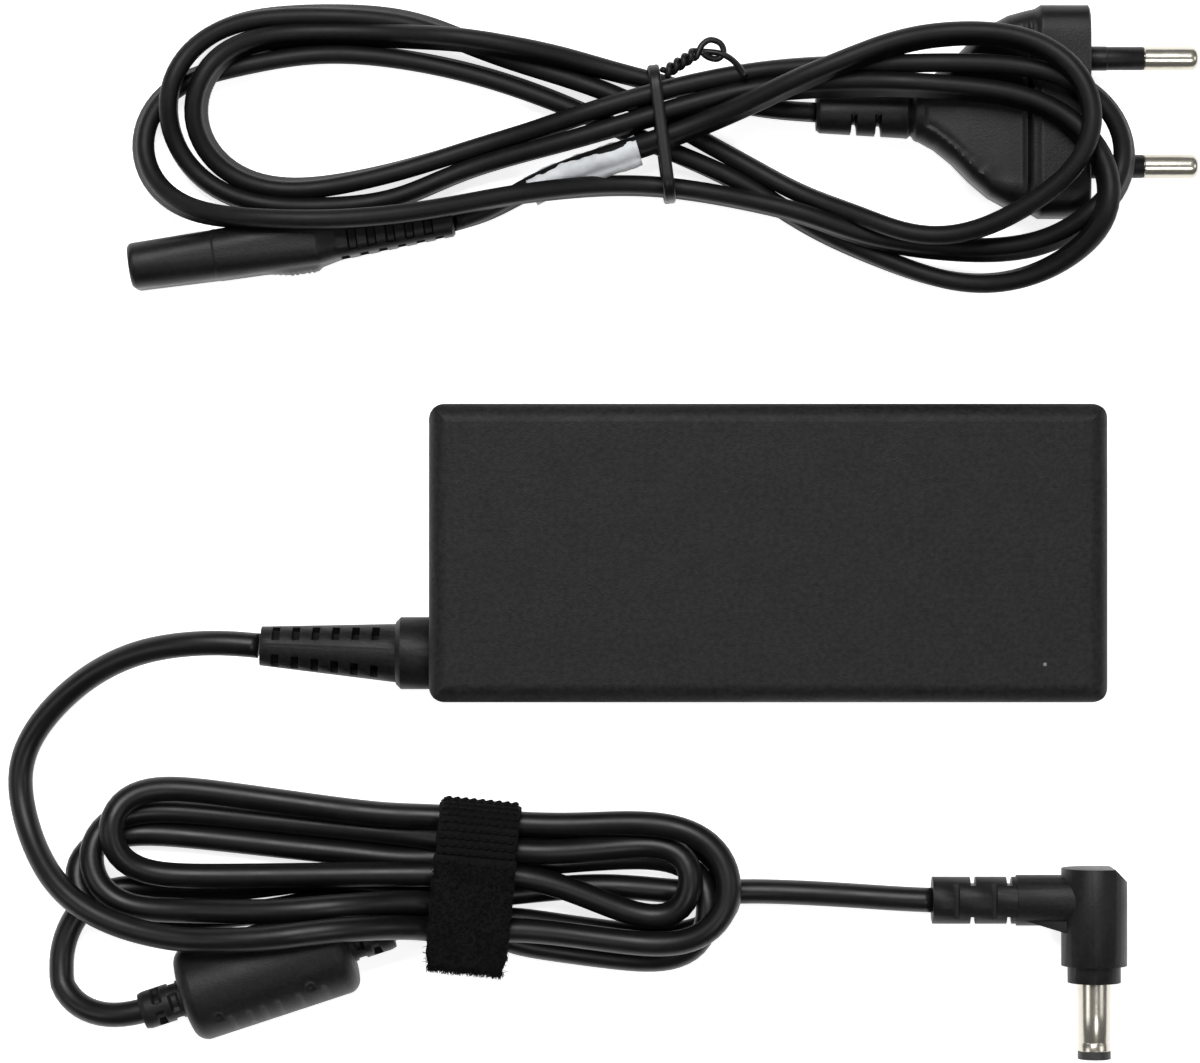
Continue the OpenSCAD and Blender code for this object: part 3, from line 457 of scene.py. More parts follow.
def grain(mat, node, size, depth, detail=2.0, stretch=(1, 1, 1)):
    """Bump of a given grain size and depth, both in metres."""
    tree = mat.node_tree
    where = tree.nodes.new("ShaderNodeTexCoord")
    scale = tree.nodes.new("ShaderNodeMapping")
    scale.inputs["Scale"].default_value = stretch
    noise = tree.nodes.new("ShaderNodeTexNoise")
    noise.inputs["Scale"].default_value = 1 / size
    noise.inputs["Detail"].default_value = detail
    noise.inputs["Roughness"].default_value = 0.6
    bump = tree.nodes.new("ShaderNodeBump")
    bump.inputs["Strength"].default_value = 1
    bump.inputs["Distance"].default_value = depth
    tree.links.new(where.outputs["Object"], scale.inputs["Vector"])
    tree.links.new(scale.outputs["Vector"], noise.inputs["Vector"])
    tree.links.new(noise.outputs["Fac"], bump.inputs["Height"])
    tree.links.new(bump.outputs["Normal"], node.inputs["Normal"])


def varied(mat, node, socket, size, low, high):
    """A socket that drifts between two values or colours over the surface."""
    tree = mat.node_tree
    where = tree.nodes.new("ShaderNodeTexCoord")
    noise = tree.nodes.new("ShaderNodeTexNoise")
    noise.inputs["Scale"].default_value = 1 / size
    noise.inputs["Detail"].default_value = 3.0
    ramp = tree.nodes.new("ShaderNodeValToRGB")
    ramp.color_ramp.elements[0].position = 0.3
    ramp.color_ramp.elements[1].position = 0.7
    for element, value in zip(ramp.color_ramp.elements, (low, high)):
        element.color = (*value, 1) if isinstance(value, tuple) else (value, value, value, 1)
    tree.links.new(where.outputs["Object"], noise.inputs["Vector"])
    tree.links.new(noise.outputs["Fac"], ramp.inputs["Fac"])
    tree.links.new(ramp.outputs["Color"], node.inputs[socket])


def plastic(name, colour, rough, grain_size, grain_depth, spread=0.12, drift=0.3, gloss=0.4):
    """Moulded plastic: fine grain, roughness and tone that drift a little."""
    mat, node = shader(name, colour, rough, 0.0, gloss)
    grain(mat, node, grain_size, grain_depth)
    varied(mat, node, "Roughness", 0.006, rough - spread / 2, rough + spread / 2)
    dark = tuple(c * (1 - drift) for c in colour)
    light = tuple(c * (1 + drift) for c in colour)
    varied(mat, node, "Base Color", grain_size * 2.5, dark, light)
    return mat


def metal(name, colour, rough, streak=(1, 1, 1)):
    """Plated metal with faint drawing marks."""
    mat, node = shader(name, colour, rough, 0.85)
    grain(mat, node, 0.0006, 0.0000004, 3.0, streak)
    varied(mat, node, "Roughness", 0.0012, rough * 0.92, rough * 1.1)
    return mat


# colour, roughness, grain size and depth in metres, then where they differ from the usual:
# spread of roughness, drift of tone, gloss
PLASTICS = {
    "case_plastic": ((0.0060, 0.0060, 0.0068), 0.56, 0.00032, 0.00006, 0.06, 0.8, 0.24),
    "label_film": ((0.08, 0.08, 0.085), 0.45, 0.0004, 0.000004),
    "clear_plastic": ((0.16, 0.165, 0.16), 0.3, 0.0005, 0.000002),
    "inlet_plastic": ((0.018, 0.018, 0.019), 0.35, 0.0003, 0.000006),
    "soft_moulding": ((0.0065, 0.0065, 0.007), 0.48, 0.0003, 0.00004, 0.1, 0.4, 0.24),
    "cord_jacket": ((0.0035, 0.0035, 0.0038), 0.40, 0.0007, 0.000010, 0.1, 0.3, 0.32),
    "hook_and_loop": ((0.0035, 0.0035, 0.0038), 0.9, 0.0003, 0.00012, 0.1, 0.5, 0.15),
    "plug_plastic": ((0.005, 0.005, 0.0055), 0.44, 0.0003, 0.00003, 0.1, 0.4, 0.24),
    "tie_jacket": ((0.005, 0.005, 0.005), 0.42, 0.0004, 0.00001, 0.1, 0.3, 0.25),
    "tag_film": ((0.62, 0.64, 0.66), 0.45, 0.0009, 0.00003, 0.1, 0.12),
    "board_laminate": ((0.36, 0.24, 0.07), 0.5, 0.0008, 0.00001),
    "clear_film": ((0.62, 0.61, 0.55), 0.25, 0.001, 0.000005),
    "component_black": ((0.03, 0.03, 0.031), 0.5, 0.0003, 0.00001),
    "sleeve_blue": ((0.02, 0.03, 0.09), 0.25, 0.001, 0.000004),
    "case_yellow": ((0.52, 0.34, 0.02), 0.3, 0.001, 0.000005),
    "ferrite": ((0.06, 0.06, 0.064), 0.55, 0.0003, 0.00003),
    "core_green": ((0.02, 0.09, 0.035), 0.4, 0.0006, 0.00001),
    "tape_yellow": ((0.68, 0.43, 0.03), 0.3, 0.001, 0.000008),
    "ceramic_blue": ((0.03, 0.10, 0.36), 0.3, 0.001, 0.00001),
    "ceramic_green": ((0.015, 0.07, 0.03), 0.35, 0.001, 0.00001),
    "white_plastic": ((0.75, 0.75, 0.72), 0.45, 0.0005, 0.000005),
    "led_green": ((0.12, 0.55, 0.14), 0.2, 0.001, 0.000002),
    "wire_brown": ((0.11, 0.035, 0.015), 0.35, 0.0006, 0.000008),
    "wire_red": ((0.38, 0.015, 0.012), 0.35, 0.0006, 0.000008),
    "mains_jacket": ((0.0035, 0.0035, 0.0037), 0.52, 0.0005, 0.00002, 0.08, 0.3, 0.24),
}
# colour, roughness, and the stretch of the drawing marks where they show
METALS = {
    "nickel": ((0.56, 0.53, 0.46), 0.24),
    "heatsink_metal": ((0.62, 0.63, 0.65), 0.35, (1, 14, 1)),
    "screw_steel": ((0.62, 0.62, 0.64), 0.28),
    "copper_wire": ((0.55, 0.2, 0.07), 0.3, (12, 1, 1)),
    "contact_metal": ((0.70, 0.52, 0.24), 0.25),
}
MATERIALS = {name: plastic(name, *values) for name, values in PLASTICS.items()}
MATERIALS.update({name: metal(name, *values) for name, values in METALS.items()})
SLOT_OF = {part["node"]: part["material_slot"] for part in frame["record"]["subparts"]}
BODY_OF = {n: body for body, members in frame["record"]["behaviour"]["bodies"].items() for n in members}


def dress(piece, slot_name, *replaced):
    """Gives a new piece the material of a record slot, and hides the CAD nodes that it stands for."""
    piece.data.materials.clear()
    piece.data.materials.append(MATERIALS[slot_name])
    if replaced:
        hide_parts(*replaced)
    return piece


for node_name, node_object in nodes.items():
    for material_slot in node_object.material_slots:
        material_slot.material = MATERIALS[SLOT_OF[node_name]]


def softened(node_name, width):
    """A copy of a CAD node with its edges rounded to a width and its round faces smooth."""
    mesh = nodes[node_name].data.copy()
    mesh.name = node_name + "_look"
    work = bmesh.new()
    work.from_mesh(mesh)
    bmesh.ops.remove_doubles(work, verts=work.verts, dist=5e-6)
    bmesh.ops.dissolve_limit(work, angle_limit=math.radians(1.0), verts=work.verts, edges=work.edges)
    work.to_mesh(mesh)
    work.free()
    piece = bpy.data.objects.new(node_name + "_look", mesh)
    bpy.context.scene.collection.objects.link(piece)
    for face in mesh.polygons:
        face.use_smooth = True
    rounded = piece.modifiers.new("rounded", "BEVEL")
    rounded.width = width
    rounded.segments = 2
    rounded.limit_method = "ANGLE"
    rounded.angle_limit = math.radians(35)
    rounded.use_clamp_overlap = True
    rounded.harden_normals = True
    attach(piece, BODY_OF[node_name])
    return dress(piece, SLOT_OF[node_name], node_name)


def frame_of(axis):
    """Two directions square to an axis, the second one as near to up as can be."""
    axis = np.array(axis, float) / np.linalg.norm(axis)
    side = np.cross(axis, [0, 0, 1])
    side /= np.linalg.norm(side)
    return axis, side, np.cross(side, axis)


def lathe(profile, origin, axis, sides=64, closed=False):
    """A turned shape. profile is (along, radius) in mm, closed when it comes back to its start."""
    axis, side, up = frame_of(axis)
    verts = []
    for along, radius in profile:
        for k in range(sides):
            t = 2 * math.pi * k / sides
            out = math.cos(t) * side + math.sin(t) * up
            verts.append((np.array(origin) + along * axis + radius * out) * MM)
    return verts, skin(len(profile), sides, closed)


def crisp(piece, angle=32):
    """Smooth shading with sharp edges where faces meet at more than an angle."""
    piece.data.set_sharp_from_angle(angle=math.radians(angle))


def loft(rings):
    """Skin over rings of equally many points, closed at both ends."""
    verts = [tuple(np.array(p) * MM) for ring in rings for p in ring]
    return verts, skin(len(rings), len(rings[0]))


def round_box_ring(half_w, half_h, corner, count=64):
    """Points (across, up) round a rectangle with round corners, spaced by angle so that rings match."""
    corner = min(corner, half_w, half_h)
    points = []
    for k in range(count):
        t = 2 * math.pi * (k + 0.5) / count
        c, s = math.cos(t), math.sin(t)
        low, high = 0.0, half_w + half_h
        for _ in range(28):
            r = (low + high) / 2
            x, y = abs(r * c), abs(r * s)
            dx, dy = x - (half_w - corner), y - (half_h - corner)
            out = x > half_w or y > half_h or (dx > 0 and dy > 0 and math.hypot(dx, dy) > corner)
            low, high = (low, r) if out else (r, high)
        points.append((low * c, low * s))
    return points


def gap_depth(position, pitch, width, count, depth):
    """How deep a slot is at a position: count slots, pitch apart from 0, with soft shoulders."""
    index = round(position / pitch)
    if index < 0 or index >= count:
        return 0.0
    off = abs(position - index * pitch) - width / 2
    return depth * min(1.0, max(0.0, 0.5 - off / 0.16))


# ---------- cord pieces ----------

dc_points = resample(dc_path, 1.3)
dc_cord = add_mesh("dc_cord", *tube_mesh(dc_points * MM, ring_section(DC_D / 2 * MM, 26)), "adapter")
dress(dc_cord, "cord_jacket", "dc_cord_exit", "dc_cord_hank", "dc_cord_bead_loop", "dc_cord_return",
      "dc_cord_plug_end")


def twin_section(width, thick, sides=28):
    """Outline of a flat two-core cord, its width upright."""
    points = []
    reach = (width - thick) / 2
    for k in range(sides):
        angle = 2 * math.pi * k / sides
        x = thick / 2 * math.cos(angle)
        y = thick / 2 * math.sin(angle)
        y += math.copysign(reach, math.sin(angle)) * min(1, abs(math.sin(angle)) * 3)
        waist = 1 - 0.26 * math.exp(-(y / 0.62) ** 2)
        points.append((x * waist, y))
    return points


mains_points = resample(mains_path, 1.4)
along_mains = np.concatenate([[0], np.cumsum(np.linalg.norm(np.diff(mains_points, axis=0), axis=1))])
lean = np.radians(9 + 9 * np.sin(along_mains / 31.0) + 5 * np.sin(along_mains / 13.0 + 1.0))
lean *= np.clip(along_mains / 20, 0, 1) * np.clip((along_mains[-1] - along_mains) / 20, 0, 1)
mains_verts, mains_faces = tube_mesh(mains_points * MM, np.array(twin_section(CORD_W, CORD_T)) * MM, lean)
mains_cord = add_mesh("mains_cord", mains_verts, mains_faces, "mains_lead")
dress(mains_cord, "cord_jacket", "mains_cord_start", "mains_cord_left_coil", "mains_cord_crossing",
      "mains_cord_right_coil", "mains_cord_end")
mains_cord.data.materials[0] = MATERIALS["mains_jacket"]


# ---------- strain relief of the brick ----------

EDGE = 0.25 * MM
relief = softened("dc_strain_relief", EDGE)


# ---------- DC plug ----------

grip = softened("plug_grip", EDGE)
BARREL_AT = np.array([54.7, -71.1, 5.45])
BARREL_L = 11.35
BARREL_R = 2.75
barrel_profile = [
    (-8, 2.45), (0, 2.45), (0.1, 2.5), (0.2, BARREL_R), (0.5, 2.76), (5.0, 2.74), (9.6, BARREL_R),
    (9.75, 2.66), (9.95, 2.66), (10.1, BARREL_R), (BARREL_L - 0.15, BARREL_R), (BARREL_L, 2.65),
    (BARREL_L, 2.37), (-8, 2.37)]
barrel_mesh = lathe(barrel_profile, BARREL_AT, (0, -1, 0), 72, closed=True)
barrel = add_mesh("plug_barrel_shell", *barrel_mesh, "adapter")
crisp(dress(barrel, "nickel", "plug_barrel"))


# ---------- mains plug ----------

MAINS_AT = np.array([0, 72.6, 6.85])
PIN_L = 17.5
PIN_R = 2.0
PIN_TIP = 1.2
PIN_FOOT = 54.2
PIN_APART = 17.8


def on_pin(side):
    """Where a pin leaves the plug. side is 1 for the far one and -1 for the near one."""
    return MAINS_AT + np.array([PIN_FOOT, side * PIN_APART / 2, 0])


def pin_mesh(side):
    """A round-ended pin: thin inside its sleeve, full size beyond it."""
    profile = [(-5.9, 1.68), (-0.1, 1.68), (0, 1.62), (8.5, 1.62), (8.52, 1.9), (8.64, PIN_R)]
    profile += [(x, PIN_R + 0.012 * math.sin(x * 3)) for x in np.linspace(9.4, 16, 6)]
    profile += [(PIN_L - PIN_TIP + PIN_TIP * math.sin(t), PIN_R - 1.05 * (1 - math.cos(t)))
                for t in np.linspace(0.15, math.pi / 2, 8)]
    return lathe(profile, on_pin(side), (1, 0, 0), 56)


pin_upper = add_mesh("mains_pin_upper_metal", *pin_mesh(1), "mains_lead")
pin_lower = add_mesh("mains_pin_lower_metal", *pin_mesh(-1), "mains_lead")
for pin, stands_for in ((pin_upper, "mains_pin_upper"), (pin_lower, "mains_pin_lower")):
    crisp(dress(pin, "nickel", stands_for))

sleeve_profile = [(-0.9, 1.66), (-0.9, 1.9), (-0.7, PIN_R), (2.3, PIN_R), (2.4, 1.93), (8.3, 1.93),
                  (8.45, 1.84), (8.45, 1.66)]
both_sleeves = [lathe(sleeve_profile, on_pin(side), (1, 0, 0), 56, closed=True) for side in (1, -1)]
sleeves = add_mesh("mains_pin_sleeves", *join_meshes(both_sleeves), "mains_lead")
crisp(dress(sleeves, SLOT_OF["pin_sleeves"], "pin_sleeves"))


# how wide and high the plug is at places along it, each half a side
PLUG_WIDE_AT = [8.6, 9.2, 22.4, 23.2, 25.5, 28, 31, 34, 37, 40, 43, 44.4, 45.4, 53.1, 53.4]
PLUG_WIDE = [3.0, 3.45, 4.25, 4.3, 4.9, 6.2, 8.6, 11.6, 14.1, 15.7, 16.5, 16.8, 17.4, 17.4, 17.0]
PLUG_HIGH_AT = [8.6, 9.2, 22.4, 23.2, 27, 33, 40, 44.4, 45.4, 53.1, 53.4]
PLUG_HIGH = [3.0, 3.45, 4.25, 4.4, 5.3, 6.0, 6.3, 6.4, 6.84, 6.84, 6.5]


def mains_body_rings():
    """Rings from the slotted relief over the shoulders to the flange that the pins stand in."""
    rings = []
    for x in np.concatenate([np.arange(8.6, 22.6, 0.16), np.arange(22.6, 53.1, 0.3), [53.1, 53.3, 53.4]]):
        half_w = float(np.interp(x, PLUG_WIDE_AT, PLUG_WIDE))
        half_h = float(np.interp(x, PLUG_HIGH_AT, PLUG_HIGH))
        corner = float(np.interp(x, [22, 30, 45.4, 53.4], [4.4, 4.6, 3.9, 3.9]))
        ring = []
        for y, z in round_box_ring(half_w, half_h, corner, 96):
            around = math.degrees(math.atan2(z, y)) % 360
            upright = abs((around % 180) - 90)
            if x < 22.6:
                # slots of the relief, two on its near side and three on the far one
                if y < 0:
                    cut = gap_depth(x - 14.8, 4.0, 0.8, 2, 1.7) * min(1, max(0, (upright - 9) / 7))
                else:
                    cut = gap_depth(x - 12.8, 4.3, 0.9, 3, 1.3) * min(1, max(0, (upright - 42) / 8))
                shrink = 1 - cut / math.hypot(y, z)
                y, z = y * shrink, z * shrink
            elif x < 25.2:
                # a groove between the relief and the body
                shrink = 1 - 0.175 * max(0, 1 - abs(x - 24.2) / 0.6)
                y, z = y * shrink, z * shrink
            elif 26.2 < x < 44.0 and z > 0:
                # a panel let into the top, with a raised rim towards the pins
                rim = half_w - 2.6
                inside = min(1, max(0, (rim - abs(y)) / 0.5))
                inside *= min(1, (x - 26.2) / 0.6) * min(1, (44.0 - x) / 0.4)
                z -= 0.45 * inside
                z += 0.55 * inside * max(0, 1 - abs(x - 42.9) / 0.7)
            ring.append((x, MAINS_AT[1] + y, MAINS_AT[2] + z))
        rings.append(ring)
    return rings


mains_plug = add_mesh("mains_plug_moulding", *loft(mains_body_rings()), "mains_lead")
crisp(dress(mains_plug, "plug_plastic", "mains_plug_body"), 40)


# ---------- mains connector ----------

CONN_AT = np.array([-104.2, 47, 7])
CONN_TURN = math.radians(8.1)
CONN_HALF_AT = [0, 0.35, 0.7, 13.9, 14.05, 31, 34, 53.2, 53.6]
CONN_HALF_W = [3.3, 3.7, 3.8, 4.03, 4.1, 4.1, 3.5, 2.35, 2.0]
CONN_HALF_H = [6.3, 6.65, 6.75, 6.9, 6.98, 6.98, 5.3, 3.3, 3.0]


def connector_rings():
    """Rings from the face with the sockets along the body to the end of the slotted relief."""
    c, s = math.cos(CONN_TURN), math.sin(CONN_TURN)
    rings = []
    stations = np.concatenate([
        [0, 0.12, 0.35, 0.7], np.arange(1.2, 13.9, 0.6), [13.9, 14.05], np.arange(14.4, 33.3, 0.4),
        np.arange(33.4, 53.4, 0.15), [53.45, 53.6]])
    for x in stations:
        half_w = float(np.interp(x, CONN_HALF_AT, CONN_HALF_W))
        half_h = float(np.interp(x, CONN_HALF_AT, CONN_HALF_H))
        corner = float(np.interp(x, [0, 14, 33, 53], [3.6, 3.4, 2.4, 2.0]))
        ring = []
        for y, z in round_box_ring(half_w, half_h, corner, 80):
            side_face = min(1, max(0, (abs(y) / half_w - 0.62) / 0.12))
            cut = gap_depth(x - 35.2, 3.15, 1.35, 6, 1.15) * side_face * (abs(z) < half_h * 0.62)
            top_face = min(1, max(0, (abs(z) / half_h - 0.66) / 0.12))
            cut_top = gap_depth(x - 36.8, 3.15, 1.35, 5, 1.1) * top_face * (abs(y) < half_w * 0.66)
            y -= math.copysign(cut, y)
            z -= math.copysign(cut_top, z)
            # ribbed finger rest on the front side
            if y < 0 and 21.5 < x < 31.2:
                lift = min(1, (x - 21.5) / 4.5) * min(1, (31.2 - x) / 0.9) * max(0, 1 - (z / 4.2) ** 4)
                y -= lift * (0.85 + 0.14 * math.sin(2 * math.pi * x / 0.95))
            ring.append((CONN_AT[0] + c * x - s * y, CONN_AT[1] + s * x + c * y, CONN_AT[2] + z))
        rings.append(ring)
    return rings


def cut_socket(piece, contact):
    """A round socket in the connector's face, just wider than the contact that sits in it."""
    depth = 11
    low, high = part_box(contact)
    centre = np.array([CONN_AT[0], CONN_AT[1], (low[2] + high[2]) / 2 / MM])
    radius = (high[2] - low[2]) / 2 / MM + 0.05
    along = (math.cos(CONN_TURN), math.sin(CONN_TURN), 0)
    drill = lathe([(-1, radius), (depth, radius)], centre, along, 40)
    cutter = bpy.data.objects.new("socket", outward_mesh("socket", *drill))
    bpy.context.scene.collection.objects.link(cutter)
    # the modifier's result is kept as the connector's own mesh
    cut = piece.modifiers.new("socket", "BOOLEAN")
    cut.object = cutter
    cut.solver = "EXACT"
    bpy.context.view_layer.update()
    piece.data = bpy.data.meshes.new_from_object(piece.evaluated_get(bpy.context.evaluated_depsgraph_get()))
    piece.modifiers.clear()
    bpy.data.objects.remove(cutter)


connector = add_mesh("mains_connector", *loft(connector_rings()), "mains_lead")
cut_socket(connector, "connector_contact_upper")
cut_socket(connector, "connector_contact_lower")
crisp(dress(connector, "plug_plastic", "connector_body"), 40)


# ---------- ferrite bead ----------

def bead_radius(a, angle):
    """Radius of the cover at a place along its axis. angle is 0 at the top and 90 on the near side."""
    half = 14.25
    out = abs(a)
    if out > half:
        # one of the two slotted reliefs
        base = BEAD_RELIEF_R
        step = out - half
        for slot_at, turned in ((1.5, 0), (4.4, 45)):
            width = abs(step - slot_at)
            way = abs((angle + turned + 45) % 90 - 45)
            if width < 0.65 and way < 30:
                base -= 0.95
        return base - 0.25 * max(step - 6.5, 0)
    r = BEAD_R
    edge = 2.3
    if out > half - edge:
        r = BEAD_R - edge + math.sqrt(max(edge ** 2 - (out - half + edge) ** 2, 0))
    # shallow mould steps on the front flank, and two dimples
    flank = max(0.0, 1 - ((angle - 62) / 25) ** 6) if 35 < angle < 89 else 0.0
    for groove in (-7.4, -4.4, -2.0, 0.6, 4.2, 8.6):
        r -= 0.2 * flank * max(0.0, 1 - ((a - groove) / 0.55) ** 2)
    for dimple in (-9.2, 6.6):
        d = math.hypot(a - dimple, BEAD_R * math.radians(angle - 33))
        if d < 0.9:
            r -= 0.5 * (1 - (d / 0.9) ** 2)
    # parting line along both sides
    line = min(abs(angle - 90), abs(angle + 90)) * math.radians(1) * BEAD_R
    r += 0.07 * max(0.0, 1 - line / 0.25)
    return r


def bead_rings():
    """Rings from the end of one relief, over the cover, to the end of the other."""
    stations = np.concatenate([
        np.linspace(-21.55, -14.3, 30), np.linspace(-14.249, -11.95, 14), np.linspace(-11.8, 11.8, 96),
        np.linspace(11.95, 14.249, 14), np.linspace(14.3, 21.55, 30)])
    sides = 108
    side = np.array([BEAD_AXIS[1], -BEAD_AXIS[0], 0])
    up = np.array([0, 0, 1])
    rings = []
    for a in stations:
        ring = []
        for k in range(sides):
            angle = -180 + 360 * k / sides
            turn = math.radians(angle)
            out = math.cos(turn) * up + math.sin(turn) * side
            ring.append(BEAD_AT + a * BEAD_AXIS + bead_radius(a, angle) * out)
        rings.append(ring)
    return rings


bead = add_mesh("ferrite_bead_cover", *loft(bead_rings()), "adapter")
dress(bead, "soft_moulding", "ferrite_cover")


# ---------- hook-and-loop strap ----------

STRAP_W = 13.5
STRAP_T = 1.3
SKIN = 0.15
TAIL_L = 18.6


def ring_line(inset, steps):
    """Points (across, up) round the strap's flat ring, starting at the middle of its upper side."""
    r = STRAP_HIGH / 2 - inset
    straight = STRAP_FLAT
    quarter = math.pi * r
    total = 4 * straight + 2 * quarter
    points = []
    for k in range(steps):
        d = total * k / steps
        if d < straight:
            points.append((d, r))
        elif d < straight + quarter:
            t = (d - straight) / r
            points.append((straight + r * math.sin(t), r * math.cos(t)))
        elif d < 3 * straight + quarter:
            points.append((straight - (d - straight - quarter), -r))
        elif d < 3 * straight + 2 * quarter:
            t = (d - 3 * straight - quarter) / r
            points.append((-straight - r * math.sin(t), -r * math.cos(t)))
        else:
            points.append((-straight + (d - 3 * straight - 2 * quarter), r))
    return points


def strap_world(along, across, up):
    """A place on the strap in metres, its height given from the middle of the ring."""
    x, y, z = strap_point(along, across, STRAP_HIGH / 2 + up)
    return (x * MM, y * MM, z * MM)


def strap_ring():
    """The ring as one closed band, its edges a little wavy and soft."""
    steps, rows = 220, 26
    outer = ring_line(SKIN, steps)
    inner = ring_line(STRAP_T, steps)
    verts = []
    for k in range(steps):
        for line, order in ((outer, range(rows)), (inner, range(rows - 1, -1, -1))):
            for j in order:
                share = j / (rows - 1)
                wave = 0.12 * math.sin(k * 0.31) + 0.08 * math.sin(k * 0.83 + 1)
                along = (share - 0.5) * (STRAP_W - 0.3) + wave * (2 * share - 1)
                edge = max(0.0, 1 - min(share, 1 - share) * rows / 2.5)
                shrink = 0.25 * edge * (1 if line is outer else -1)
                across, up = line[k]
                core = max(min(across, STRAP_FLAT), -STRAP_FLAT)
                size = math.hypot(across - core, up)
                factor = 1 - shrink / max(size, 0.1)
                verts.append(strap_world(along, core + (across - core) * factor, up * factor))
    return verts, skin(steps, 2 * rows, closed=True)


strap = add_mesh("strap_ring", *strap_ring(), "adapter")
dress(strap, "hook_and_loop", "cable_strap")


def hooks():
    """Rows of small hooks on the strap's outer side, where the free end doesn't cover it."""
    line = ring_line(SKIN, 400)
    distance = np.concatenate([[0], np.cumsum(np.hypot(*np.diff(np.array(line), axis=0).T))])
    parts = []
    pitch = 1.32
    for row in range(14):
        d = 3.9 + 0.5 + pitch * row
        k = int(np.searchsorted(distance, d))
        across, up = line[k]
        nxt = line[k + 1]
        way = np.array([nxt[0] - across, nxt[1] - up])
        way /= np.linalg.norm(way)
        normal = np.array([-way[1], way[0]])
        for column in range(9):
            along = (column - 4) * 1.38 + (0.12 if row % 2 else -0.12)
            foot = np.array([across, up]) - 0.1 * normal
            path = []
            for t in np.linspace(0, 1, 6):
                lift = 0.38 * math.sin(t * 2.3)
                drift = -0.34 + 0.68 * t
                path.append(strap_world(along + drift, *(foot + normal * lift)))
            parts.append(tube_mesh(path, ring_section(0.19 * MM, 6)))
            base = [strap_world(along - 0.55, *foot), strap_world(along, *(foot + normal * 0.22)),
                    strap_world(along + 0.55, *foot)]
            parts.append(tube_mesh(base, ring_section(0.3 * MM, 6)))
    return join_meshes(parts)


hook_rows = add_mesh("strap_hooks", *hooks(), "adapter")
dress(hook_rows, "hook_and_loop")

rng = np.random.default_rng(7)


def tail_sheet():
    """The free end: a soft strip with a quilted pile side and a frayed edge."""
    columns, rows = 60, 84
    top, low = [], []
    for j in range(rows):
        across = 4.2 - TAIL_L * j / (rows - 1)
        for i in range(columns):
            share = i / (columns - 1)
            narrow = 1.1 * max(0.0, 1 - (rows - 1 - j) / 26) ** 1.5
            along = (share - 0.5) * (STRAP_W - narrow) + 0.14 * math.sin(j * 0.37) * (2 * share - 1)
            edge = min(share, 1 - share) * columns
            pile = 0.10 * math.sin(i * 0.9) * math.sin(j * 0.8) + 0.06 * rng.standard_normal()
            ragged = 0.35 * rng.random() if j == rows - 1 else 0
            fall = 0.35 * max(0.0, 1 - edge / 2.5)
            fall += 0.3 * max(0.0, 1 - (rows - 1 - j) / 3) + 0.25 * max(0.0, 1 - j / 2)
            z = STRAP_HIGH / 2 + 0.25 + 1.1 + 0.12 * pile - fall
            top.append(strap_world(along, across + ragged, z))
            low.append(strap_world(along, across + ragged, STRAP_HIGH / 2 + 0.27))
    verts = top + low
    size = columns * rows
    faces = []
    for j in range(rows - 1):
        for i in range(columns - 1):
            a = j * columns + i
            faces.append((a, a + 1, a + columns + 1, a + columns))
            faces.append((size + a, size + a + columns, size + a + columns + 1, size + a + 1))
    for j in range(rows - 1):
        for i in (0, columns - 1):
            a = j * columns + i
            faces.append((a, a + columns, size + a + columns, size + a))
    for i in range(columns - 1):
        for j in (0, rows - 1):
            a = j * columns + i
            faces.append((a, a + 1, size + a + 1, size + a))
    return verts, faces


tail = add_mesh("strap_free_end", *tail_sheet(), "strap_end")
dress(tail, "hook_and_loop", "strap_tail")


def pile():
    """Curled fibres of the loop side, with a fringe along the cut end."""
    parts = []
    for n in range(5200):
        fringe = n >= 3400
        along = (rng.random() - 0.5) * (STRAP_W - (1.3 if fringe else 0.6))
        across = 3.0 - (TAIL_L - 1.3) * (1 if fringe else rng.random())
        turn = rng.random() * 2 * math.pi
        length = 0.9 + 0.8 * rng.random()
        depth = rng.random()
        z = STRAP_HIGH / 2 + 1.2
        path = []
        for t in np.linspace(0, 1, 4):
            if fringe:
                drift = 0.4 * math.sin(turn) * t
                out = 0.2 - 0.8 * length * t * depth
                rise = -0.9 * (1 - depth) - 0.3 * t * t + 0.2 * math.cos(turn) * t
            else:
                drift = 0.55 * length * t * math.cos(turn)
                out = 0.55 * length * t * math.sin(turn)
                rise = 0.42 * math.sin(t * math.pi) * (0.5 + 0.5 * math.sin(turn * 3))
            path.append(strap_world(along + drift, across + out, z + rise))
        parts.append(tube_mesh(path, ring_section(0.05 * MM, 3)))
    return join_meshes(parts)


fibres = add_mesh("strap_pile", *pile(), "strap_end")
dress(fibres, "hook_and_loop")


# ---------- wire tie and tag ----------

def rounded_loop(half_y, half_z, r, steps):
    """Points (y, z) round a rectangle with round corners."""
    points = []
    for cy, cz, first in ((half_y - r, half_z - r, 0), (r - half_y, half_z - r, 90),
                          (r - half_y, r - half_z, 180), (half_y - r, r - half_z, 270)):
        for k in range(steps):
            t = math.radians(first + 90 * k / (steps - 1))
            points.append((cy + r * math.cos(t), cz + r * math.sin(t)))
    return points


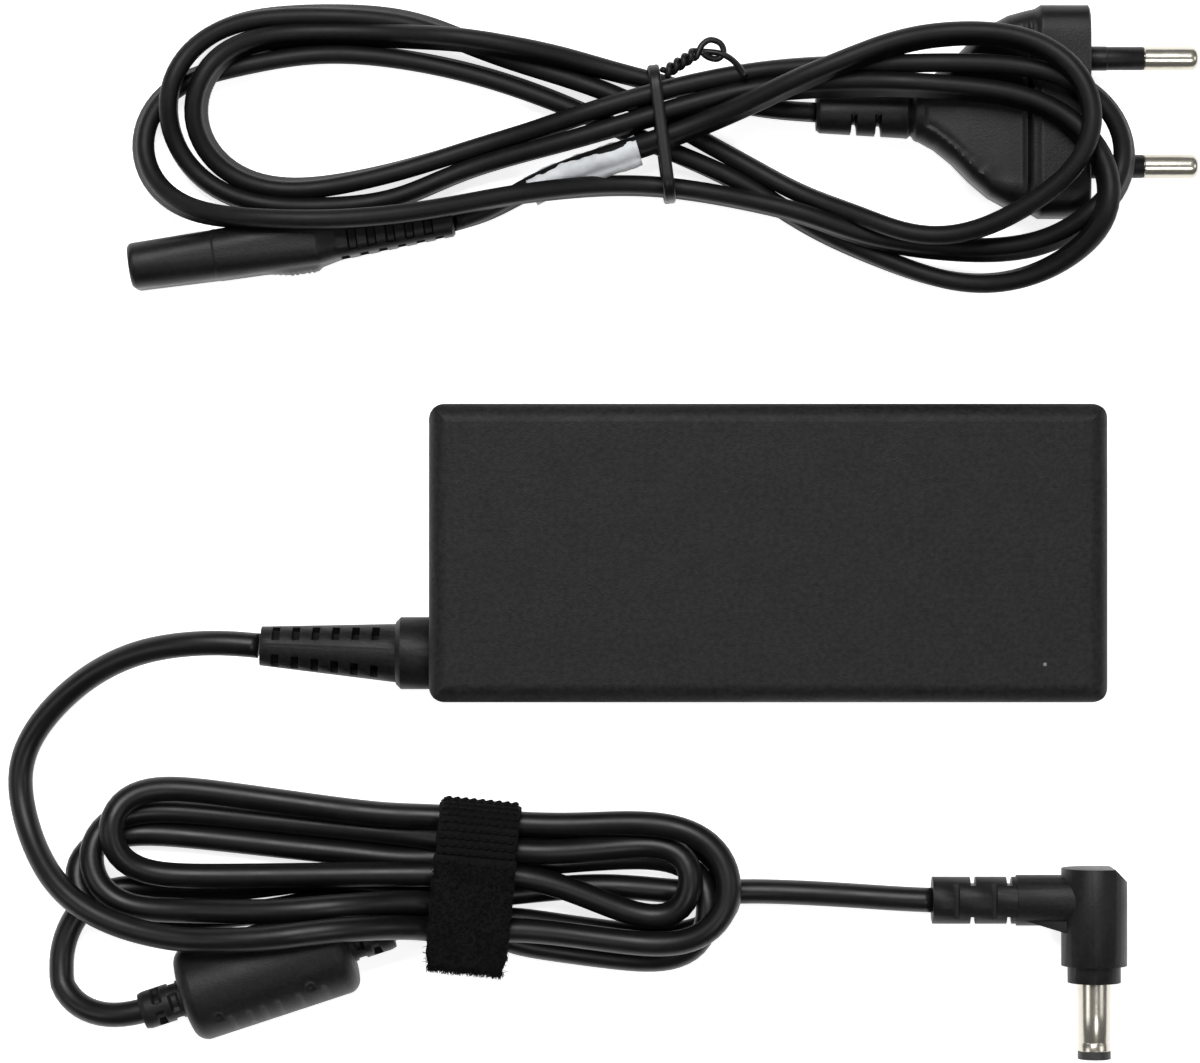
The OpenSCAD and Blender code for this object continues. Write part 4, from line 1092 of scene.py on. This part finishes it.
def tie_parts():
    """The flat loop round the strands, and its two ends twisted together."""
    parts = []
    slant = 0.13
    path = [(-16.6 - slant * (y + 2), 69.0 + y, 6.5 + z) for y, z in rounded_loop(10.9, 6.1, 3.4, 12)]
    path.append(path[0])
    path = resample(path, 0.6)
    heading = np.gradient(path, axis=0)
    heading[0] = heading[-1] = path[1] - path[-2]
    heading /= np.linalg.norm(heading, axis=1)[:, None]
    wide = np.array([1.0, slant, 0])
    rings = []
    for point, way in zip(path, heading):
        out = np.cross(way, wide)
        out /= np.linalg.norm(out)
        rings.append([point + 0.95 * math.cos(t) * wide + (0.3 + 0.22 * abs(math.cos(t))) * math.sin(t) * out
                      for t in np.linspace(0, 2 * math.pi, 20, endpoint=False)])
    parts.append(loft(rings))
    # the twist: two strands round each other, one of them ending in an eye
    start, end = np.array([-16.4, 78.6, 11.8]), np.array([-11.6, 81.8, 10.6])
    way = end - start
    side = np.cross(way, [0, 0, 1])
    side /= np.linalg.norm(side)
    up = np.cross(side, way / np.linalg.norm(way))
    for phase in (0, math.pi):
        strand = []
        for t in np.linspace(0, 1, 40):
            a = phase + t * 4 * math.pi
            strand.append(start + way * t + 0.66 * (math.cos(a) * side + math.sin(a) * up))
        if phase == 0:
            strand += [(-10.2, 83.4, 10.4), (-8.9, 84.2, 10.3), (-7.2, 83.6, 10.2), (-6.7, 82.2, 10.2),
                       (-7.6, 81.1, 10.4), (-9.2, 81.3, 10.7), (-10.4, 82.2, 11)]
        else:
            strand += [(-9.6, 82.3, 10.1), (-7.4, 82, 10.4), (-5.8, 81.2, 11), (-4.4, 79.8, 12.2),
                       (-3.2, 77.9, 13.4)]
        parts.append(tube_mesh(resample(strand, 0.4) * MM, ring_section(0.52, 10) * MM))
    return join_meshes(parts)


tie = add_mesh("wire_tie", *tie_parts(), "mains_lead")
dress(tie, "tie_jacket", "twist_tie")


def tag_mesh():
    """A blank film wrapped round the cord from the connector, its two ends stuck together as a low flag."""
    near = mains_points[:40]
    path = near[(near[:, 0] > -38.8) & (near[:, 0] < -20.5)]
    path = resample(path, 0.5)
    heading = np.gradient(path, axis=0)
    sides = 44
    film = 0.07
    outer, inner = [], []
    for i, (point, way) in enumerate(zip(path, heading)):
        share = i / (len(path) - 1)
        across = np.cross(way, [0, 0, 1])
        across /= np.linalg.norm(across)
        up = np.array([0, 0, 1.0])
        crease = 0.10 * math.sin(share * 23) + 0.06 * math.sin(share * 61 + 1)
        ring = []
        for t in np.linspace(0, 2 * math.pi, sides, endpoint=False):
            a, b = 2.05 + crease * math.cos(3 * t), 2.95 + 0.1 * math.sin(2 * t + share * 9)
            flag = 1.25 * math.exp(-((t - 0.25) / 0.16) ** 2)
            ring.append(point + (a * math.cos(t) + flag) * across + b * math.sin(t) * up)
        outer.append(ring)
        inner.append([point + (q - point) * (1 - film) for q in ring])
    rings = outer + inner[::-1]
    return np.array(rings).reshape(-1, 3) * MM, skin(len(rings), sides, closed=True)


tag = add_mesh("blank_tag", *tag_mesh(), "mains_lead")
dress(tag, "tag_film", "cord_tag")


# ---------- floor and light ----------

floor_mesh = bpy.data.meshes.new("floor")
reach = 3.0
corners = [(-reach, -reach, 0), (reach, -reach, 0), (reach, reach, 0), (-reach, reach, 0)]
floor_mesh.from_pydata(corners, [], [(0, 1, 2, 3)])
floor = bpy.data.objects.new("floor", floor_mesh)
floor.location = (0, 0, -0.00002)
bpy.context.scene.collection.objects.link(floor)
floor_paint, floor_node = shader("floor_paint", (0.9, 0.9, 0.9), 0.9)
grain(floor_paint, floor_node, 0.01, 0.00001)
floor_node.inputs["Emission Color"].default_value = (1, 1, 1, 1)
floor_node.inputs["Emission Strength"].default_value = 0.78
floor_mesh.materials.append(floor_paint)


def soft_light(name, place, size, power):
    """A square light that points at the object."""
    data = bpy.data.lights.new(name, "AREA")
    data.shape = "SQUARE"
    data.size = size
    data.energy = power
    light = bpy.data.objects.new(name, data)
    light.location = place
    light.rotation_euler = (Vector((0, 0, 0)) - Vector(place)).to_track_quat("-Z", "Y").to_euler()
    light.visible_camera = False
    bpy.context.scene.collection.objects.link(light)


soft_light("overhead", (-0.15, 0.6, 1.15), 0.6, 15)
soft_light("front", (0.25, -0.45, 1.2), 0.3, 2.5)
soft_light("left", (-0.95, -0.15, 0.85), 0.5, 2)
soft_light("right", (0.95, 0.05, 0.85), 0.5, 2)
world = bpy.data.worlds.new("studio")
world.use_nodes = True
world.node_tree.nodes["Background"].inputs["Color"].default_value = (1, 1, 1, 1)
world.node_tree.nodes["Background"].inputs["Strength"].default_value = 0.05
bpy.context.scene.world = world
bpy.context.scene.view_settings.view_transform = "Standard"

bpy.context.view_layer.update()
